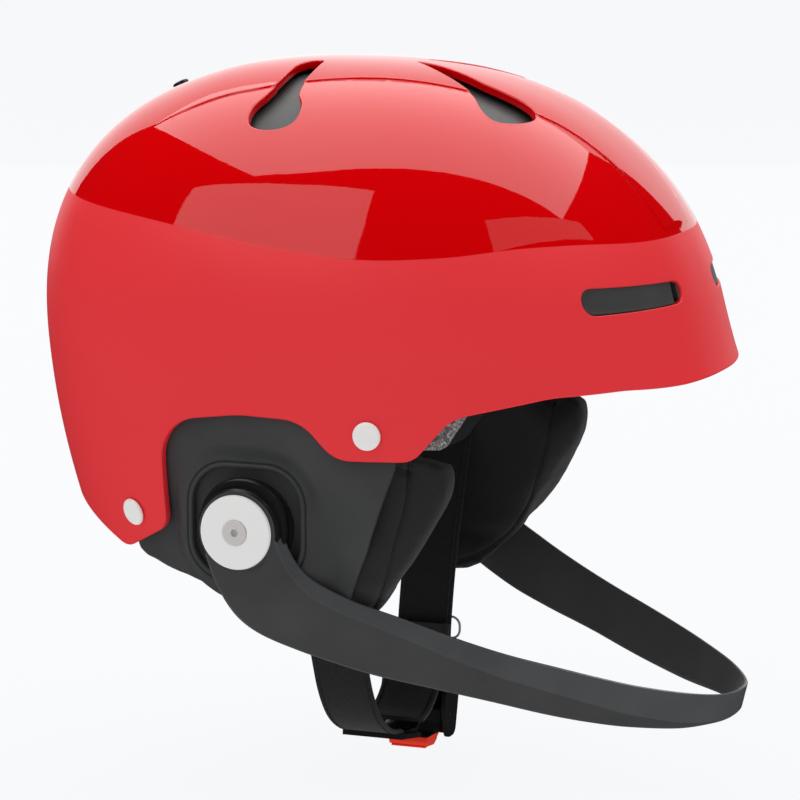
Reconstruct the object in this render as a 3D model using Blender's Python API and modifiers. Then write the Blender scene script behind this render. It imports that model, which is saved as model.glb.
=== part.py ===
"""Ski helmet with an adjustable chin guard, as separate sub-parts.

The wearer faces +X, the wearer's left is +Y, and +Z is up. The origin is the middle of the head
cavity, level with the rim of the ears. Everything is in metres.
"""

import math

import bmesh
import bpy
from mathutils import Matrix, Vector

# The dome: every shell, lining and pad is a layer of this one shape, set in from it.
CROWN_Z = 0.1407
WIDEST_Z = 0.0263
HALF_LENGTH = 0.132
HALF_WIDTH = 0.113
PLAN_POWER = 2.4
LENGTH_POWER = 2.44
WIDTH_POWER = 2.3
DOME_X = 0.0073
DOME_LEAN = 0.124
NAPE_FORWARD = 1.5
NAPE_NARROWS = 13.9
BRIM_Z = 0.050
BRIM_FORWARD = 4.8
DOME_FLOOR = -0.075
DOME_MIDDLE = Vector((0.0, 0.0, 0.012))
DOME_CUTS = 11

# How far each layer lies inside the dome.
SHELL_WALL = 0.0026
GAP = 0.0003
LINER_OUTER = 0.0031
LINER_INNER = 0.027
PAD_INNER = 0.034
SHUTTER_OUTER = 0.0054
SHUTTER_INNER = 0.0070
SHUTTER_POCKET = 0.0099

# The side view of the shell's lower rim, from the brow to the nape: x, z and corner radius.
SHELL_RIM = (
    (0.220, 0.0250, 0.0),
    (0.126, 0.0265, 0.030),
    (0.100, 0.0240, 0.040),
    (0.068, 0.0165, 0.012),
    (0.056, 0.0022, 0.009),
    (0.030, 0.0022, 0.011),
    (0.012, 0.0180, 0.012),
    (-0.014, 0.0180, 0.040),
    (-0.046, 0.0095, 0.014),
    (-0.0505, -0.0290, 0.008),
    (-0.072, -0.0440, 0.008),
    (-0.104, -0.0285, 0.020),
    (-0.220, -0.0225, 0.0),
)

# The liner stops short of the ear covers, and shows a little below the shell at the brow.
LINER_RIM = (
    (0.220, 0.0260, 0.0),
    (0.126, 0.0275, 0.030),
    (0.100, 0.0250, 0.040),
    (0.069, 0.0140, 0.012),
    (0.062, 0.0040, 0.003),
    (0.050, 0.0040, 0.003),
    (0.050, 0.0260, 0.003),
    (-0.074, 0.0260, 0.003),
    (-0.078, -0.0370, 0.004),
    (-0.104, -0.0255, 0.020),
    (-0.220, -0.0195, 0.0),
)
RIM_DEPTH = -0.20

# Crown vents in plan: narrow end x, y, radius, then wide end x, y, radius.
REAR_VENT = (-0.016, 0.0200, 0.0026, -0.017, 0.0640, 0.0108)
FRONT_VENT = (0.022, 0.0080, 0.0030, 0.0625, 0.0370, 0.0095)
VENT_LOW_Z = 0.085

# Slot vents over the brow.
SLOT_CENTRE = Vector((0.1185, 0.0465, 0.0592))
SLOT_HALF_LENGTH = 0.0285
SLOT_HALF_HEIGHT = 0.0050
SLOT_YAW = math.radians(-67.0)

# The vent shutter slides back over the crown, turning about a sideways axis.
SHUTTER_AXIS_X = -0.008
SHUTTER_AXIS_Z = -0.016
SHUTTER_TRAVEL = 0.014
TRACK_FRONT_X = -0.068
TRACK_REAR_X = -0.104
TRACK_HALF_WIDTH = 0.0058
KNOB_X = -0.0765
KNOB_LENGTH = 0.013

# The chin guard turns on a pivot through both ear covers.
PIVOT_X = -0.0140
PIVOT_Z = -0.0270
BORE_RADIUS = 0.0028
SCREW_RADIUS = 0.0024

EYE_RADIUS = 0.0163
EYE_INNER = 0.1072
EYE_OUTER = 0.1136

# Ear cover and ear pad, in side view, and how their surfaces lean in below the shell.
COVER_INSET = 0.0032
COVER_WALL = 0.0024
COVER_LEAN = 3.0
COVER_OUTLINE = (
    (0.045, 0.0240, 0.004),
    (0.043, -0.0010, 0.010),
    (0.031, -0.0350, 0.030),
    (0.021, -0.0560, 0.012),
    (0.006, -0.0740, 0.012),
    (-0.020, -0.0636, 0.030),
    (-0.071, -0.0416, 0.005),
    (-0.069, 0.0240, 0.004),
)
PAD_LEAST = 0.0090
PAD_ROLL = 0.75
PAD_ROLL_X = 0.040
PAD_TUCK = 0.40
PAD_TUCK_Z = -0.048
PAD_TUCK_MOST = 0.0035
PAD_OUTLINE = (
    (0.047, 0.0020, 0.004),
    (0.061, -0.0030, 0.007),
    (0.0572, -0.0180, 0.020),
    (0.0470, -0.0370, 0.030),
    (0.0323, -0.0610, 0.020),
    (0.016, -0.0762, 0.016),
    (-0.012, -0.0770, 0.020),
    (-0.077, -0.0464, 0.006),
    (-0.070, 0.0120, 0.012),
    (0.030, 0.0140, 0.010),
)
POCKET_FACE = 0.1046
POCKET_FLOOR = 0.1014
POCKET_BACK = 0.0988
POCKET_HALF = (0.0240, 0.0230)
POCKET_RISE = 0.0018
NUT_SEAT = 0.0970
NUT_SEAT_RADIUS = 0.0115
POCKET_LIP = 0.0026
POCKET_CORNER = 0.016

STRAP_HALF_WIDTH = 0.0116
STRAP_THICKNESS = 0.0016
STRAP_ROUTE = (
    (0.0762, 0.0200),
    (0.0756, -0.0080),
    (0.0660, -0.0360),
    (0.0550, -0.0680),
)
STRAP_LOWER_LEFT = ((0.0500, -0.0880), (0.0478, -0.1020))
STRAP_LOWER_RIGHT = (
    (0.0465, -0.0880),
    (0.0395, -0.1035),
    (0.0300, -0.1155),
    (0.0175, -0.1232),
    (0.0060, -0.1262),
)

# Chin guard stations from the pivot to the front: top x, y, z, bottom x, y, z, bevel.
GUARD_STATIONS = (
    (0.0005, 0.1104, -0.0210, -0.0285, 0.1104, -0.0330, 0.0015),
    (0.0050, 0.1104, -0.0340, -0.0220, 0.1107, -0.0490, 0.0020),
    (0.0120, 0.1062, -0.0450, -0.0130, 0.1085, -0.0615, 0.0030),
    (0.0230, 0.0944, -0.0547, 0.0010, 0.0967, -0.0721, 0.0040),
    (0.0400, 0.0846, -0.0625, 0.0250, 0.0832, -0.0826, 0.0045),
    (0.0580, 0.0766, -0.0704, 0.0460, 0.0720, -0.0888, 0.0055),
    (0.0760, 0.0688, -0.0772, 0.0675, 0.0624, -0.0944, 0.0070),
    (0.0940, 0.0600, -0.0828, 0.0865, 0.0533, -0.0998, 0.0080),
    (0.1080, 0.0526, -0.0872, 0.1010, 0.0459, -0.1032, 0.0090),
    (0.1220, 0.0438, -0.0915, 0.1145, 0.0382, -0.1056, 0.0100),
    (0.1380, 0.0300, -0.0957, 0.1310, 0.0277, -0.1072, 0.0100),
    (0.1480, 0.0148, -0.0986, 0.1410, 0.0150, -0.1066, 0.0090),
    (0.1505, 0.0000, -0.0992, 0.1440, 0.0000, -0.1062, 0.0085),
)
GUARD_THICKNESS = 0.0060

# The plates that hold the strap ends inside the liner.
ANCHOR_HALF_LENGTH = 0.0140
ANCHOR_Y = (0.0775, 0.0798)
ANCHOR_Z = (0.0155, 0.0235)

# The buckle under the left jaw, in front view: y, z.
LEVER_PIN = (0.0415, -0.1300)
LEVER_PIN_RADIUS = 0.0011
BUCKLE_HALF_WIDTH = 0.0144
CAVITY_HALF_WIDTH = 0.0125
BUCKLE_BODY = (
    (0.0430, -0.1000, 0.001),
    (0.0513, -0.1000, 0.002),
    (0.0520, -0.1180, 0.010),
    (0.0465, -0.1390, 0.004),
    (0.0380, -0.1390, 0.003),
    (0.0340, -0.1265, 0.006),
)
BUCKLE_CAVITY = (
    (0.0250, -0.0930, 0.0),
    (0.0492, -0.0930, 0.0),
    (0.0498, -0.1175, 0.010),
    (0.0435, -0.1430, 0.0),
    (0.0250, -0.1430, 0.0),
)
LEVER_HALF_WIDTH = 0.0106
LEVER_OUTLINE = (
    (0.0390, -0.1272, 0.001),
    (0.0430, -0.1272, 0.002),
    (0.0437, -0.1335, 0.003),
    (0.0417, -0.1405, 0.002),
    (0.0380, -0.1422, 0.002),
    (0.0290, -0.1412, 0.002),
    (0.0300, -0.1372, 0.001),
    (0.0370, -0.1370, 0.002),
    (0.0390, -0.1330, 0.002),
)
SPRING_RADIUS = 0.0021
SPRING_ENDS = (0.0109, 0.0123)
TONGUE_HEAD_HALF_WIDTH = 0.0126
TONGUE_HALF_WIDTH = 0.0070
TONGUE_THICKNESS = 0.0020
TONGUE_TEETH = 7
TOOTH_RADIUS = 0.0006
TONGUE_ROUTE = (
    (-0.0110, -0.1272),
    (-0.0010, -0.1290),
    (0.0110, -0.1312),
    (0.0210, -0.1318),
    (0.0290, -0.1280),
    (0.0415, -0.1155),
)
FLAP_HALF_WIDTH = 0.0125
FLAP_THICKNESS = 0.0018
FLAP_ROUTE = (
    (0.0446, -0.0930),
    (0.0405, -0.1065),
    (0.0315, -0.1180),
    (0.0225, -0.1240),
    (0.0145, -0.1262),
)

# The goggle-strap clip at the nape.
CLIP_TOP_Z = 0.0140
CLIP_LOW_Z = -0.0120
CLIP_HALF_WIDTH = 0.0260
CLIP_BASE_HALF_WIDTH = 0.0200
CLIP_BASE_TOP_Z = 0.0225
CLIP_HINGE = (-0.1290, 0.0, 0.0145)

# Colour, roughness and metallic value of each material.
FINISHES = {
    "red_lacquer": ((0.60, 0.012, 0.016), 0.30, 0.0),
    "foam_grey": ((0.20, 0.20, 0.20), 0.95, 0.0),
    "dark_plastic": ((0.035, 0.035, 0.036), 0.50, 0.0),
    "black_plastic": ((0.012, 0.012, 0.012), 0.40, 0.0),
    "black_fabric": ((0.014, 0.013, 0.012), 0.95, 0.0),
    "webbing": ((0.012, 0.012, 0.012), 0.90, 0.0),
    "aluminium": ((0.80, 0.79, 0.77), 0.35, 1.0),
    "steel": ((0.55, 0.53, 0.51), 0.30, 1.0),
    "orange_plastic": ((0.90, 0.05, 0.01), 0.45, 0.0),
    "rubber": ((0.018, 0.018, 0.018), 0.75, 0.0),
}

SIDES = (("right", -1), ("left", 1))


def clear_scene():
    for item in list(bpy.data.objects):
        bpy.data.objects.remove(item, do_unlink=True)


def gather(name):
    """Files every object under one collection."""
    collection = bpy.data.collections.new(name)
    bpy.context.scene.collection.children.link(collection)
    for item in list(bpy.context.scene.collection.objects):
        bpy.context.scene.collection.objects.unlink(item)
        collection.objects.link(item)


def make_material(name):
    colour, roughness, metallic = FINISHES[name]
    material = bpy.data.materials.new(name)
    material.use_nodes = True
    shader = material.node_tree.nodes["Principled BSDF"]
    shader.inputs["Base Color"].default_value = (*colour, 1.0)
    shader.inputs["Roughness"].default_value = roughness
    shader.inputs["Metallic"].default_value = metallic
    return material


def object_from_bmesh(name, shape):
    bmesh.ops.recalc_face_normals(shape, faces=shape.faces)
    if shape.calc_volume(signed=True) < 0:
        bmesh.ops.reverse_faces(shape, faces=shape.faces)
    mesh = bpy.data.meshes.new(name)
    shape.to_mesh(mesh)
    shape.free()
    item = bpy.data.objects.new(name, mesh)
    bpy.context.scene.collection.objects.link(item)
    return item


def finish(item, name, finish_name):
    """Names a finished sub-part and gives it its own material."""
    item.name = name
    item.data.name = name
    material = make_material(finish_name)
    material.name = name
    item.data.materials.clear()
    item.data.materials.append(material)


def settle(item):
    """Replaces the object's mesh with its evaluated one, so that no modifier is left on it."""
    bpy.context.view_layer.update()
    evaluated = item.evaluated_get(bpy.context.evaluated_depsgraph_get())
    mesh = bpy.data.meshes.new_from_object(evaluated)
    item.modifiers.clear()
    item.data = mesh
    return item


def combine(item, other, operation):
    """Applies one exact Boolean to item, and removes the other object."""
    modifier = item.modifiers.new(operation.lower(), "BOOLEAN")
    modifier.operation = operation
    modifier.solver = "EXACT"
    modifier.object = other
    settle(item)
    bpy.data.objects.remove(other, do_unlink=True)
    return item


def soften(item, width, segments=2, angle=35):
    """Bevels the edges that are sharper than angle, in degrees."""
    modifier = item.modifiers.new("soften", "BEVEL")
    modifier.width = width
    modifier.segments = segments
    modifier.limit_method = "ANGLE"
    modifier.angle_limit = math.radians(angle)
    return settle(item)


# The dome


def dome_plan(z, inset):
    """Half-length, half-width and middle x of the dome's plan at one height."""
    rise = max(z - WIDEST_Z, 0.0) / (CROWN_Z - inset - WIDEST_Z)
    drop = max(WIDEST_Z - z, 0.0)
    if rise >= 1.0:
        return 0.0, 0.0, DOME_X - DOME_LEAN * z
    length = (HALF_LENGTH - inset) * (1 - rise**LENGTH_POWER) ** (1 / LENGTH_POWER)
    width = (HALF_WIDTH - inset) * (1 - rise**WIDTH_POWER) ** (1 / WIDTH_POWER)
    middle = DOME_X - DOME_LEAN * z + NAPE_FORWARD * drop**2
    return length, width * (1 - NAPE_NARROWS * drop**2), middle


def in_dome(point, inset):
    if point.z < DOME_FLOOR:
        return False
    length, width, middle = dome_plan(point.z, inset)
    if length <= 0.0:
        return False
    if point.x > middle:
        length += BRIM_FORWARD * max(BRIM_Z - max(point.z, 0.0), 0.0) ** 2
    along = abs(point.x - middle) / length
    across = abs(point.y) / width
    return along**PLAN_POWER + across**PLAN_POWER < 1.0


def dome_point(direction, inset, start=DOME_MIDDLE):
    """The point where a ray from start leaves the dome."""
    low, high = 0.0, 0.4
    for _ in range(34):
        middle = (low + high) / 2
        if in_dome(start + direction * middle, inset):
            low = middle
        else:
            high = middle
    return start + direction * low


def dome_side(x, z, inset):
    """The dome's y at one place in its side view."""
    length, width, middle = dome_plan(z, inset)
    along = min(abs(x - middle) / length, 1.0)
    return width * (1 - along**PLAN_POWER) ** (1 / PLAN_POWER)


def dome_normal(point, inset=0.0):
    """The outward direction at a point of the dome, from three nearby rays."""
    step = 0.002
    out = (point - DOME_MIDDLE).normalized()
    first = out.orthogonal().normalized()
    second = out.cross(first)
    corners = []
    for turn in (90, 210, 330):
        angle = math.radians(turn)
        shift = (first * math.cos(angle) + second * math.sin(angle)) * step
        corners.append(dome_point((point + shift - DOME_MIDDLE).normalized(), inset))
    normal = (corners[1] - corners[0]).cross(corners[2] - corners[0]).normalized()
    return normal if normal.dot(out) > 0 else -normal


def dome_solid(name, inset, cuts=DOME_CUTS):
    """A cube whose faces are divided evenly and pushed out to the dome."""
    shape = bmesh.new()
    bmesh.ops.create_cube(shape, size=2.0)
    bmesh.ops.subdivide_edges(shape, edges=shape.edges, cuts=cuts, use_grid_fill=True)
    for vertex in shape.verts:
        even = Vector([math.tan(value * math.pi / 4) for value in vertex.co])
        vertex.co = dome_point(even.normalized(), inset)
    return object_from_bmesh(name, shape)


def dome_layer(name, outer, inner, keep):
    """The part of a layer of the dome that lies within keep, which is used up."""
    layer = dome_solid(name, outer)
    combine(layer, keep, "INTERSECT")
    return combine(layer, dome_solid("inner", inner), "DIFFERENCE")


# Outlines and prisms


def rounded(corners, steps=4):
    """The outline through corners of x, y and radius, with an arc at each."""
    points = []
    for index, (x, y, radius) in enumerate(corners):
        here = Vector((x, y))
        before = Vector(corners[index - 1][:2]) - here
        after = Vector(corners[(index + 1) % len(corners)][:2]) - here
        if radius <= 0.0:
            points.append(here)
            continue
        half = before.angle(after) / 2
        reach = min(radius / math.tan(half), 0.49 * before.length, 0.49 * after.length)
        radius = reach * math.tan(half)
        middle = here + (before.normalized() + after.normalized()).normalized() * radius / math.sin(half)
        start = here + before.normalized() * reach - middle
        turn = start.angle_signed(here + after.normalized() * reach - middle)
        for step in range(steps + 1):
            arm = start.copy()
            arm.rotate(Matrix.Rotation(-turn * step / steps, 2))
            points.append(middle + arm)
    return points


def circle(x, y, radius, sides=24):
    turns = [math.tau * index / sides for index in range(sides)]
    return [Vector((x + radius * math.cos(turn), y + radius * math.sin(turn))) for turn in turns]


def rounded_box(x, y, half_x, half_y, radius):
    corners = ((half_x, half_y), (-half_x, half_y), (-half_x, -half_y), (half_x, -half_y))
    return rounded([(x + right, y + up, radius) for right, up in corners])


def teardrop(x0, y0, radius0, x1, y1, radius1, steps=7):
    """The outline round a small circle and a large one, with the tangents between them."""
    axis = Vector((x1 - x0, y1 - y0))
    heading = math.atan2(axis.y, axis.x)
    spread = math.acos((radius0 - radius1) / axis.length)
    points = []
    for step in range(steps + 1):
        angle = heading - spread + 2 * spread * step / steps
        points.append(Vector((x1 + radius1 * math.cos(angle), y1 + radius1 * math.sin(angle))))
    rest = 2 * (math.pi - spread)
    for step in range(steps + 1):
        angle = heading + spread + rest * step / steps
        points.append(Vector((x0 + radius0 * math.cos(angle), y0 + radius0 * math.sin(angle))))
    return points


def band(route, thickness):
    """The outline of a strip of even thickness along a route."""
    left, right = [], []
    for index, here in enumerate(route):
        before = Vector(route[max(index - 1, 0)])
        after = Vector(route[min(index + 1, len(route) - 1)])
        across = (after - before).normalized().orthogonal() * thickness / 2
        left.append(Vector(here) + across)
        right.append(Vector(here) - across)
    return left + right[::-1]


def prism(name, outline, low, high, along):
    """A flat outline filled and given depth along one axis: its two axes are the other two, in order."""
    curve = bpy.data.curves.new(name, "CURVE")
    curve.dimensions = "2D"
    curve.fill_mode = "BOTH"
    curve.extrude = (high - low) / 2
    spline = curve.splines.new("POLY")
    spline.points.add(len(outline) - 1)
    for point, place in zip(spline.points, outline):
        point.co = (place[0], place[1], 0.0, 1.0)
    spline.use_cyclic_u = True
    holder = bpy.data.objects.new(name, curve)
    bpy.context.scene.collection.objects.link(holder)
    bpy.context.view_layer.update()
    graph = bpy.context.evaluated_depsgraph_get()
    shape = bmesh.new()
    shape.from_mesh(bpy.data.meshes.new_from_object(holder.evaluated_get(graph)))
    bpy.data.objects.remove(holder, do_unlink=True)
    bmesh.ops.remove_doubles(shape, verts=shape.verts, dist=1e-6)
    middle = (low + high) / 2
    place = {
        "X": lambda v: (v.z + middle, v.x, v.y),
        "Y": lambda v: (v.x, v.z + middle, v.y),
        "Z": lambda v: (v.x, v.y, v.z + middle),
    }[along]
    for vertex in shape.verts:
        vertex.co = place(vertex.co)
    return object_from_bmesh(name, shape)


def box(name, low, high):
    shape = bmesh.new()
    bmesh.ops.create_cube(shape, size=1.0)
    for vertex in shape.verts:
        vertex.co = [a + (b - a) * (v + 0.5) for a, b, v in zip(low, high, vertex.co)]
    return object_from_bmesh(name, shape)


def side_prism(name, outline, inner, outer, side):
    """A side-view outline given depth between two distances from the middle plane."""
    low, high = sorted((inner * side, outer * side))
    return prism(name, outline, low, high, "Y")


def turned(name, profile, sides=20):
    """A solid turned about Z from a profile of radius and height that starts and ends on the axis."""
    mesh = bpy.data.meshes.new(name)
    edges = [(index, index + 1) for index in range(len(profile) - 1)]
    mesh.from_pydata([(radius, 0.0, height) for radius, height in profile], edges, [])
    item = bpy.data.objects.new(name, mesh)
    bpy.context.scene.collection.objects.link(item)
    modifier = item.modifiers.new("turn", "SCREW")
    modifier.steps = sides
    modifier.render_steps = sides
    modifier.use_merge_vertices = True
    modifier.merge_threshold = 1e-6
    settle(item)
    shape = bmesh.new()
    shape.from_mesh(item.data)
    bpy.data.objects.remove(item, do_unlink=True)
    bmesh.ops.remove_doubles(shape, verts=shape.verts, dist=1e-6)
    return object_from_bmesh(name, shape)


def ring_profile(outer, inner, low, high):
    return ((inner, low), (outer, low), (outer, high), (inner, high), (inner, low))


def aim(item, place, direction):
    """Moves a piece made along +Z so that it starts at place and points along direction."""
    turn = Vector(direction).to_track_quat("Z", "Y").to_matrix().to_4x4()
    item.data.transform(Matrix.Translation(place) @ turn)
    return item


def pivot_piece(name, profile, side, finish_name):
    """A turned piece on the chin guard's pivot, with heights measured out from the middle plane."""
    item = turned(name, profile)
    aim(item, (PIVOT_X, 0.0, PIVOT_Z), (0.0, side, 0.0))
    finish(item, name, finish_name)


# Shell, liner and vents


def rim_cutter(name, rim):
    outline = rounded([*rim, (-0.220, RIM_DEPTH, 0.0), (0.220, RIM_DEPTH, 0.0)])
    return prism(name, outline, -0.16, 0.16, "Y")


def vent_cutter(vent, side, low, grow=0.0):
    x0, y0, radius0, x1, y1, radius1 = vent
    outline = teardrop(x0, y0 * side, radius0 + grow, x1, y1 * side, radius1 + grow)
    return prism("vent", outline, low, 0.16, "Z")


def slot_cutter(side, grow, inner, outer):
    """A stadium prism square to the brow, between two distances from the slot's middle."""
    length = SLOT_HALF_LENGTH + grow
    height = SLOT_HALF_HEIGHT + grow
    item = prism("slot", rounded_box(0.0, 0.0, length, height, height * 0.98), inner, outer, "Y")
    turn = Matrix.Rotation(SLOT_YAW, 4, "Z")
    item.data.transform(Matrix.Translation(SLOT_CENTRE) @ turn)
    if side < 0:
        item.data.transform(Matrix.Scale(-1, 4, (0, 1, 0)))
        item.data.flip_normals()
    return item


def shell_rivet_places():
    for name, side in SIDES:
        for place, x, z in (("front", 0.0369, 0.0118), ("rear", -0.0641, -0.0260)):
            point = Vector((x, side * dome_side(x, z, 0.0), z))
            yield f"{place}_rivet_{name}", point


def make_shell():
    shell = dome_solid("outer_shell", 0.0)
    combine(shell, dome_solid("inner", SHELL_WALL), "DIFFERENCE")
    combine(shell, rim_cutter("rim", SHELL_RIM), "DIFFERENCE")
    for _, side in SIDES:
        combine(shell, vent_cutter(REAR_VENT, side, VENT_LOW_Z), "DIFFERENCE")
        combine(shell, vent_cutter(FRONT_VENT, side, VENT_LOW_Z), "DIFFERENCE")
        combine(shell, slot_cutter(side, 0.0, -0.02, 0.02), "DIFFERENCE")
    middle = (TRACK_FRONT_X + TRACK_REAR_X) / 2
    half = (TRACK_FRONT_X - TRACK_REAR_X) / 2
    track = rounded_box(middle, 0.0, half, TRACK_HALF_WIDTH, TRACK_HALF_WIDTH * 0.98)
    combine(shell, prism("track", track, VENT_LOW_Z, 0.16, "Z"), "DIFFERENCE")
    for _, point in shell_rivet_places():
        combine(shell, rivet_hole(point), "DIFFERENCE")
    finish(shell, "outer_shell", "red_lacquer")


def shutter_outline(grow, back):
    """The shutter's plan: a spine, a rear wing each way and a front wing each way."""
    half = (
        (0.078, 0.0, 0.0),
        (0.078, 0.049, 0.008),
        (0.006, 0.049, 0.004),
        (0.000, 0.080, 0.008),
        (-0.034, 0.080, 0.008),
        (-0.036, 0.009, 0.006),
        (-0.092, 0.009, 0.006),
    )
    middle_x, corners = -0.010, []
    for x, y, radius in half:
        out = math.copysign(grow, x - middle_x)
        reach = out - back if out < 0 else out
        corners.append((x + reach, y + grow if y else 0.0, radius))
    mirrored = [(x, -y, radius) for x, y, radius in reversed(corners) if y]
    return rounded(corners[1:] + mirrored, steps=2)


def make_shutter():
    keep = prism("keep", shutter_outline(0.0, 0.0), VENT_LOW_Z, 0.16, "Z")
    shutter = dome_layer("vent_shutter", SHUTTER_OUTER, SHUTTER_INNER, keep)
    finish(shutter, "vent_shutter", "dark_plastic")


def make_knob():
    """The thumb knob on the shutter's rear end, through the track in the shell."""
    point = dome_point(Vector((KNOB_X, 0.0, 0.114)).normalized(), 0.0)
    normal = dome_normal(point)
    foot = -SHUTTER_OUTER + GAP
    outline = rounded_box(0.0, 0.0, KNOB_LENGTH / 2, 0.0048, 0.0042)
    knob = prism("knob", outline, foot, 0.0014, "Z")
    soften(knob, 0.0008, segments=1, angle=60)
    turn = Matrix.Rotation(math.atan2(normal.x, normal.z), 4, "Y")
    knob.data.transform(Matrix.Translation(point) @ turn)
    finish(knob, "vent_slider_knob", "black_plastic")


def make_liner():
    liner = dome_solid("impact_liner", LINER_OUTER)
    combine(liner, dome_solid("inner", LINER_INNER), "DIFFERENCE")
    combine(liner, rim_cutter("rim", LINER_RIM), "DIFFERENCE")
    outline = prism("keep", shutter_outline(0.002, SHUTTER_TRAVEL), VENT_LOW_Z - 0.02, 0.16, "Z")
    pocket = dome_layer("pocket", 0.0, SHUTTER_POCKET, outline)
    combine(liner, pocket, "DIFFERENCE")
    for _, side in SIDES:
        combine(liner, vent_cutter(REAR_VENT, side, 0.05, -0.001), "DIFFERENCE")
        combine(liner, vent_cutter(FRONT_VENT, side, 0.05, -0.001), "DIFFERENCE")
        combine(liner, slot_cutter(side, 0.0025, -0.009, 0.02), "DIFFERENCE")
    finish(liner, "impact_liner", "foam_grey")


def make_vent_insert(name, side):
    """The dark frame in a brow slot, with the slit that the air goes through."""
    insert = slot_cutter(side, -GAP, -0.0075, 0.02)
    combine(insert, dome_solid("trim", 0.0012), "INTERSECT")
    slit = slot_cutter(side, -0.0020, -0.0045, 0.03)
    combine(insert, slit, "DIFFERENCE")
    finish(insert, f"vent_insert_{name}", "dark_plastic")


# Rivets


def rivet_hole(point):
    normal = dome_normal(point)
    return aim(turned("hole", rod(0.0024, -0.012, 0.012), 12), point, normal)


def rod(radius, low, high):
    return ((0.0, low), (radius, low), (radius, high), (0.0, high))


def make_rivets():
    for name, point in shell_rivet_places():
        normal = dome_normal(point)
        profile = (
            (0.0, -0.0060),
            (0.0019, -0.0060),
            (0.0019, 0.0006),
            (0.0050, 0.0006),
            (0.0052, 0.0010),
            (0.0046, 0.0018),
            (0.0026, 0.0024),
            (0.0, 0.0026),
        )
        finish(aim(turned(name, profile, 18), point, normal), name, "steel")


# Comfort lining


def make_comfort_pads():
    """Pads stuck inside the liner, each one piece of the same layer."""
    regions = {
        "brow_pad": ((0.050, -0.064, 0.030), (0.150, 0.064, 0.060)),
        "nape_pad": ((-0.150, -0.051, -0.013), (-0.050, 0.051, 0.023)),
        "crown_pad": ((-0.070, -0.019, 0.060), (0.062, 0.019, 0.140)),
        "temple_pad_right": ((-0.048, -0.110, 0.034), (0.040, -0.030, 0.066)),
        "temple_pad_left": ((-0.048, 0.030, 0.034), (0.040, 0.110, 0.066)),
    }
    for name, (low, high) in regions.items():
        pad = dome_layer(name, LINER_INNER + GAP, PAD_INNER, box("keep", low, high))
        finish(pad, name, "black_fabric")


# Ear covers, ear pads and the pivot


def cover_surface(x, z):
    lean = COVER_LEAN * min(z, 0.0) ** 2
    return dome_side(x, max(z, -0.07), COVER_INSET) - lean


def cover_lining(x, z):
    return min(cover_surface(x, z) - COVER_WALL, POCKET_BACK)


def pad_outside(x, z):
    """The pad lies against the cover, and rolls in at its front and towards its lower end."""
    rolled = PAD_ROLL * max(x - PAD_ROLL_X, 0.0)
    rolled += min(PAD_TUCK * max(PAD_TUCK_Z - z, 0.0), PAD_TUCK_MOST)
    return min(cover_surface(x, z) - COVER_WALL - 2 * GAP, POCKET_BACK - 2 * GAP) - rolled


def pad_inside(x, z):
    inner = 0.0785 + 0.12 * min(z, 0.0) - 0.35 * max(x - 0.035, 0.0)
    return min(inner, pad_outside(x, z) - PAD_LEAST)


def field_block(name, low_surface, high_surface, side, columns=16, rows=13):
    """A block between two height fields over the side view of the ear."""
    x_range, z_range = (-0.080, 0.066), (-0.088, 0.028)
    shape = bmesh.new()
    layers = []
    for surface in (low_surface, high_surface):
        grid = []
        for row in range(rows + 1):
            z = z_range[0] + (z_range[1] - z_range[0]) * row / rows
            for column in range(columns + 1):
                x = x_range[0] + (x_range[1] - x_range[0]) * column / columns
                grid.append(shape.verts.new((x, side * surface(x, z), z)))
        layers.append(grid)
    width = columns + 1
    for grid in layers:
        for row in range(rows):
            for column in range(columns):
                a = row * width + column
                shape.faces.new((grid[a], grid[a + 1], grid[a + 1 + width], grid[a + width]))
    edge = [*range(width), *[row * width + columns for row in range(1, rows + 1)]]
    edge += [rows * width + column for column in range(columns - 1, -1, -1)]
    edge += [row * width for row in range(rows - 1, 0, -1)]
    for a, b in zip(edge, edge[1:] + edge[:1]):
        shape.faces.new((layers[0][a], layers[0][b], layers[1][b], layers[1][a]))
    return object_from_bmesh(name, shape)


def pivot_bore(side, radius=BORE_RADIUS):
    return side_prism("bore", circle(PIVOT_X, PIVOT_Z, radius, 16), 0.07, 0.13, side)


def pocket_outline(shrink):
    half_x, half_z = POCKET_HALF
    corner = POCKET_CORNER - shrink
    return rounded_box(PIVOT_X, PIVOT_Z + POCKET_RISE, half_x - shrink, half_z - shrink, corner)


def make_ear_cover(name, side):
    cover = field_block("cover", lambda x, z: 0.06, cover_surface, side)
    combine(cover, side_prism("outline", rounded(COVER_OUTLINE), 0.05, 0.13, side), "INTERSECT")
    combine(cover, side_prism("pocket", pocket_outline(0.0), 0.07, POCKET_FACE, side), "UNION")
    combine(cover, side_prism("recess", pocket_outline(POCKET_LIP), POCKET_FLOOR, 0.13, side), "DIFFERENCE")
    combine(cover, field_block("lining", lambda x, z: 0.02, cover_lining, side), "DIFFERENCE")
    seat = circle(PIVOT_X, PIVOT_Z, NUT_SEAT_RADIUS, 20)
    combine(cover, side_prism("seat", seat, NUT_SEAT, POCKET_FLOOR - GAP, side), "UNION")
    combine(cover, side_prism("nut room", seat, 0.06, NUT_SEAT, side), "DIFFERENCE")
    combine(cover, pivot_bore(side), "DIFFERENCE")
    for _, point in shell_rivet_places():
        if point.y * side > 0:
            combine(cover, rivet_hole(point), "DIFFERENCE")
    finish(cover, f"ear_cover_{name}", "dark_plastic")


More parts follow.
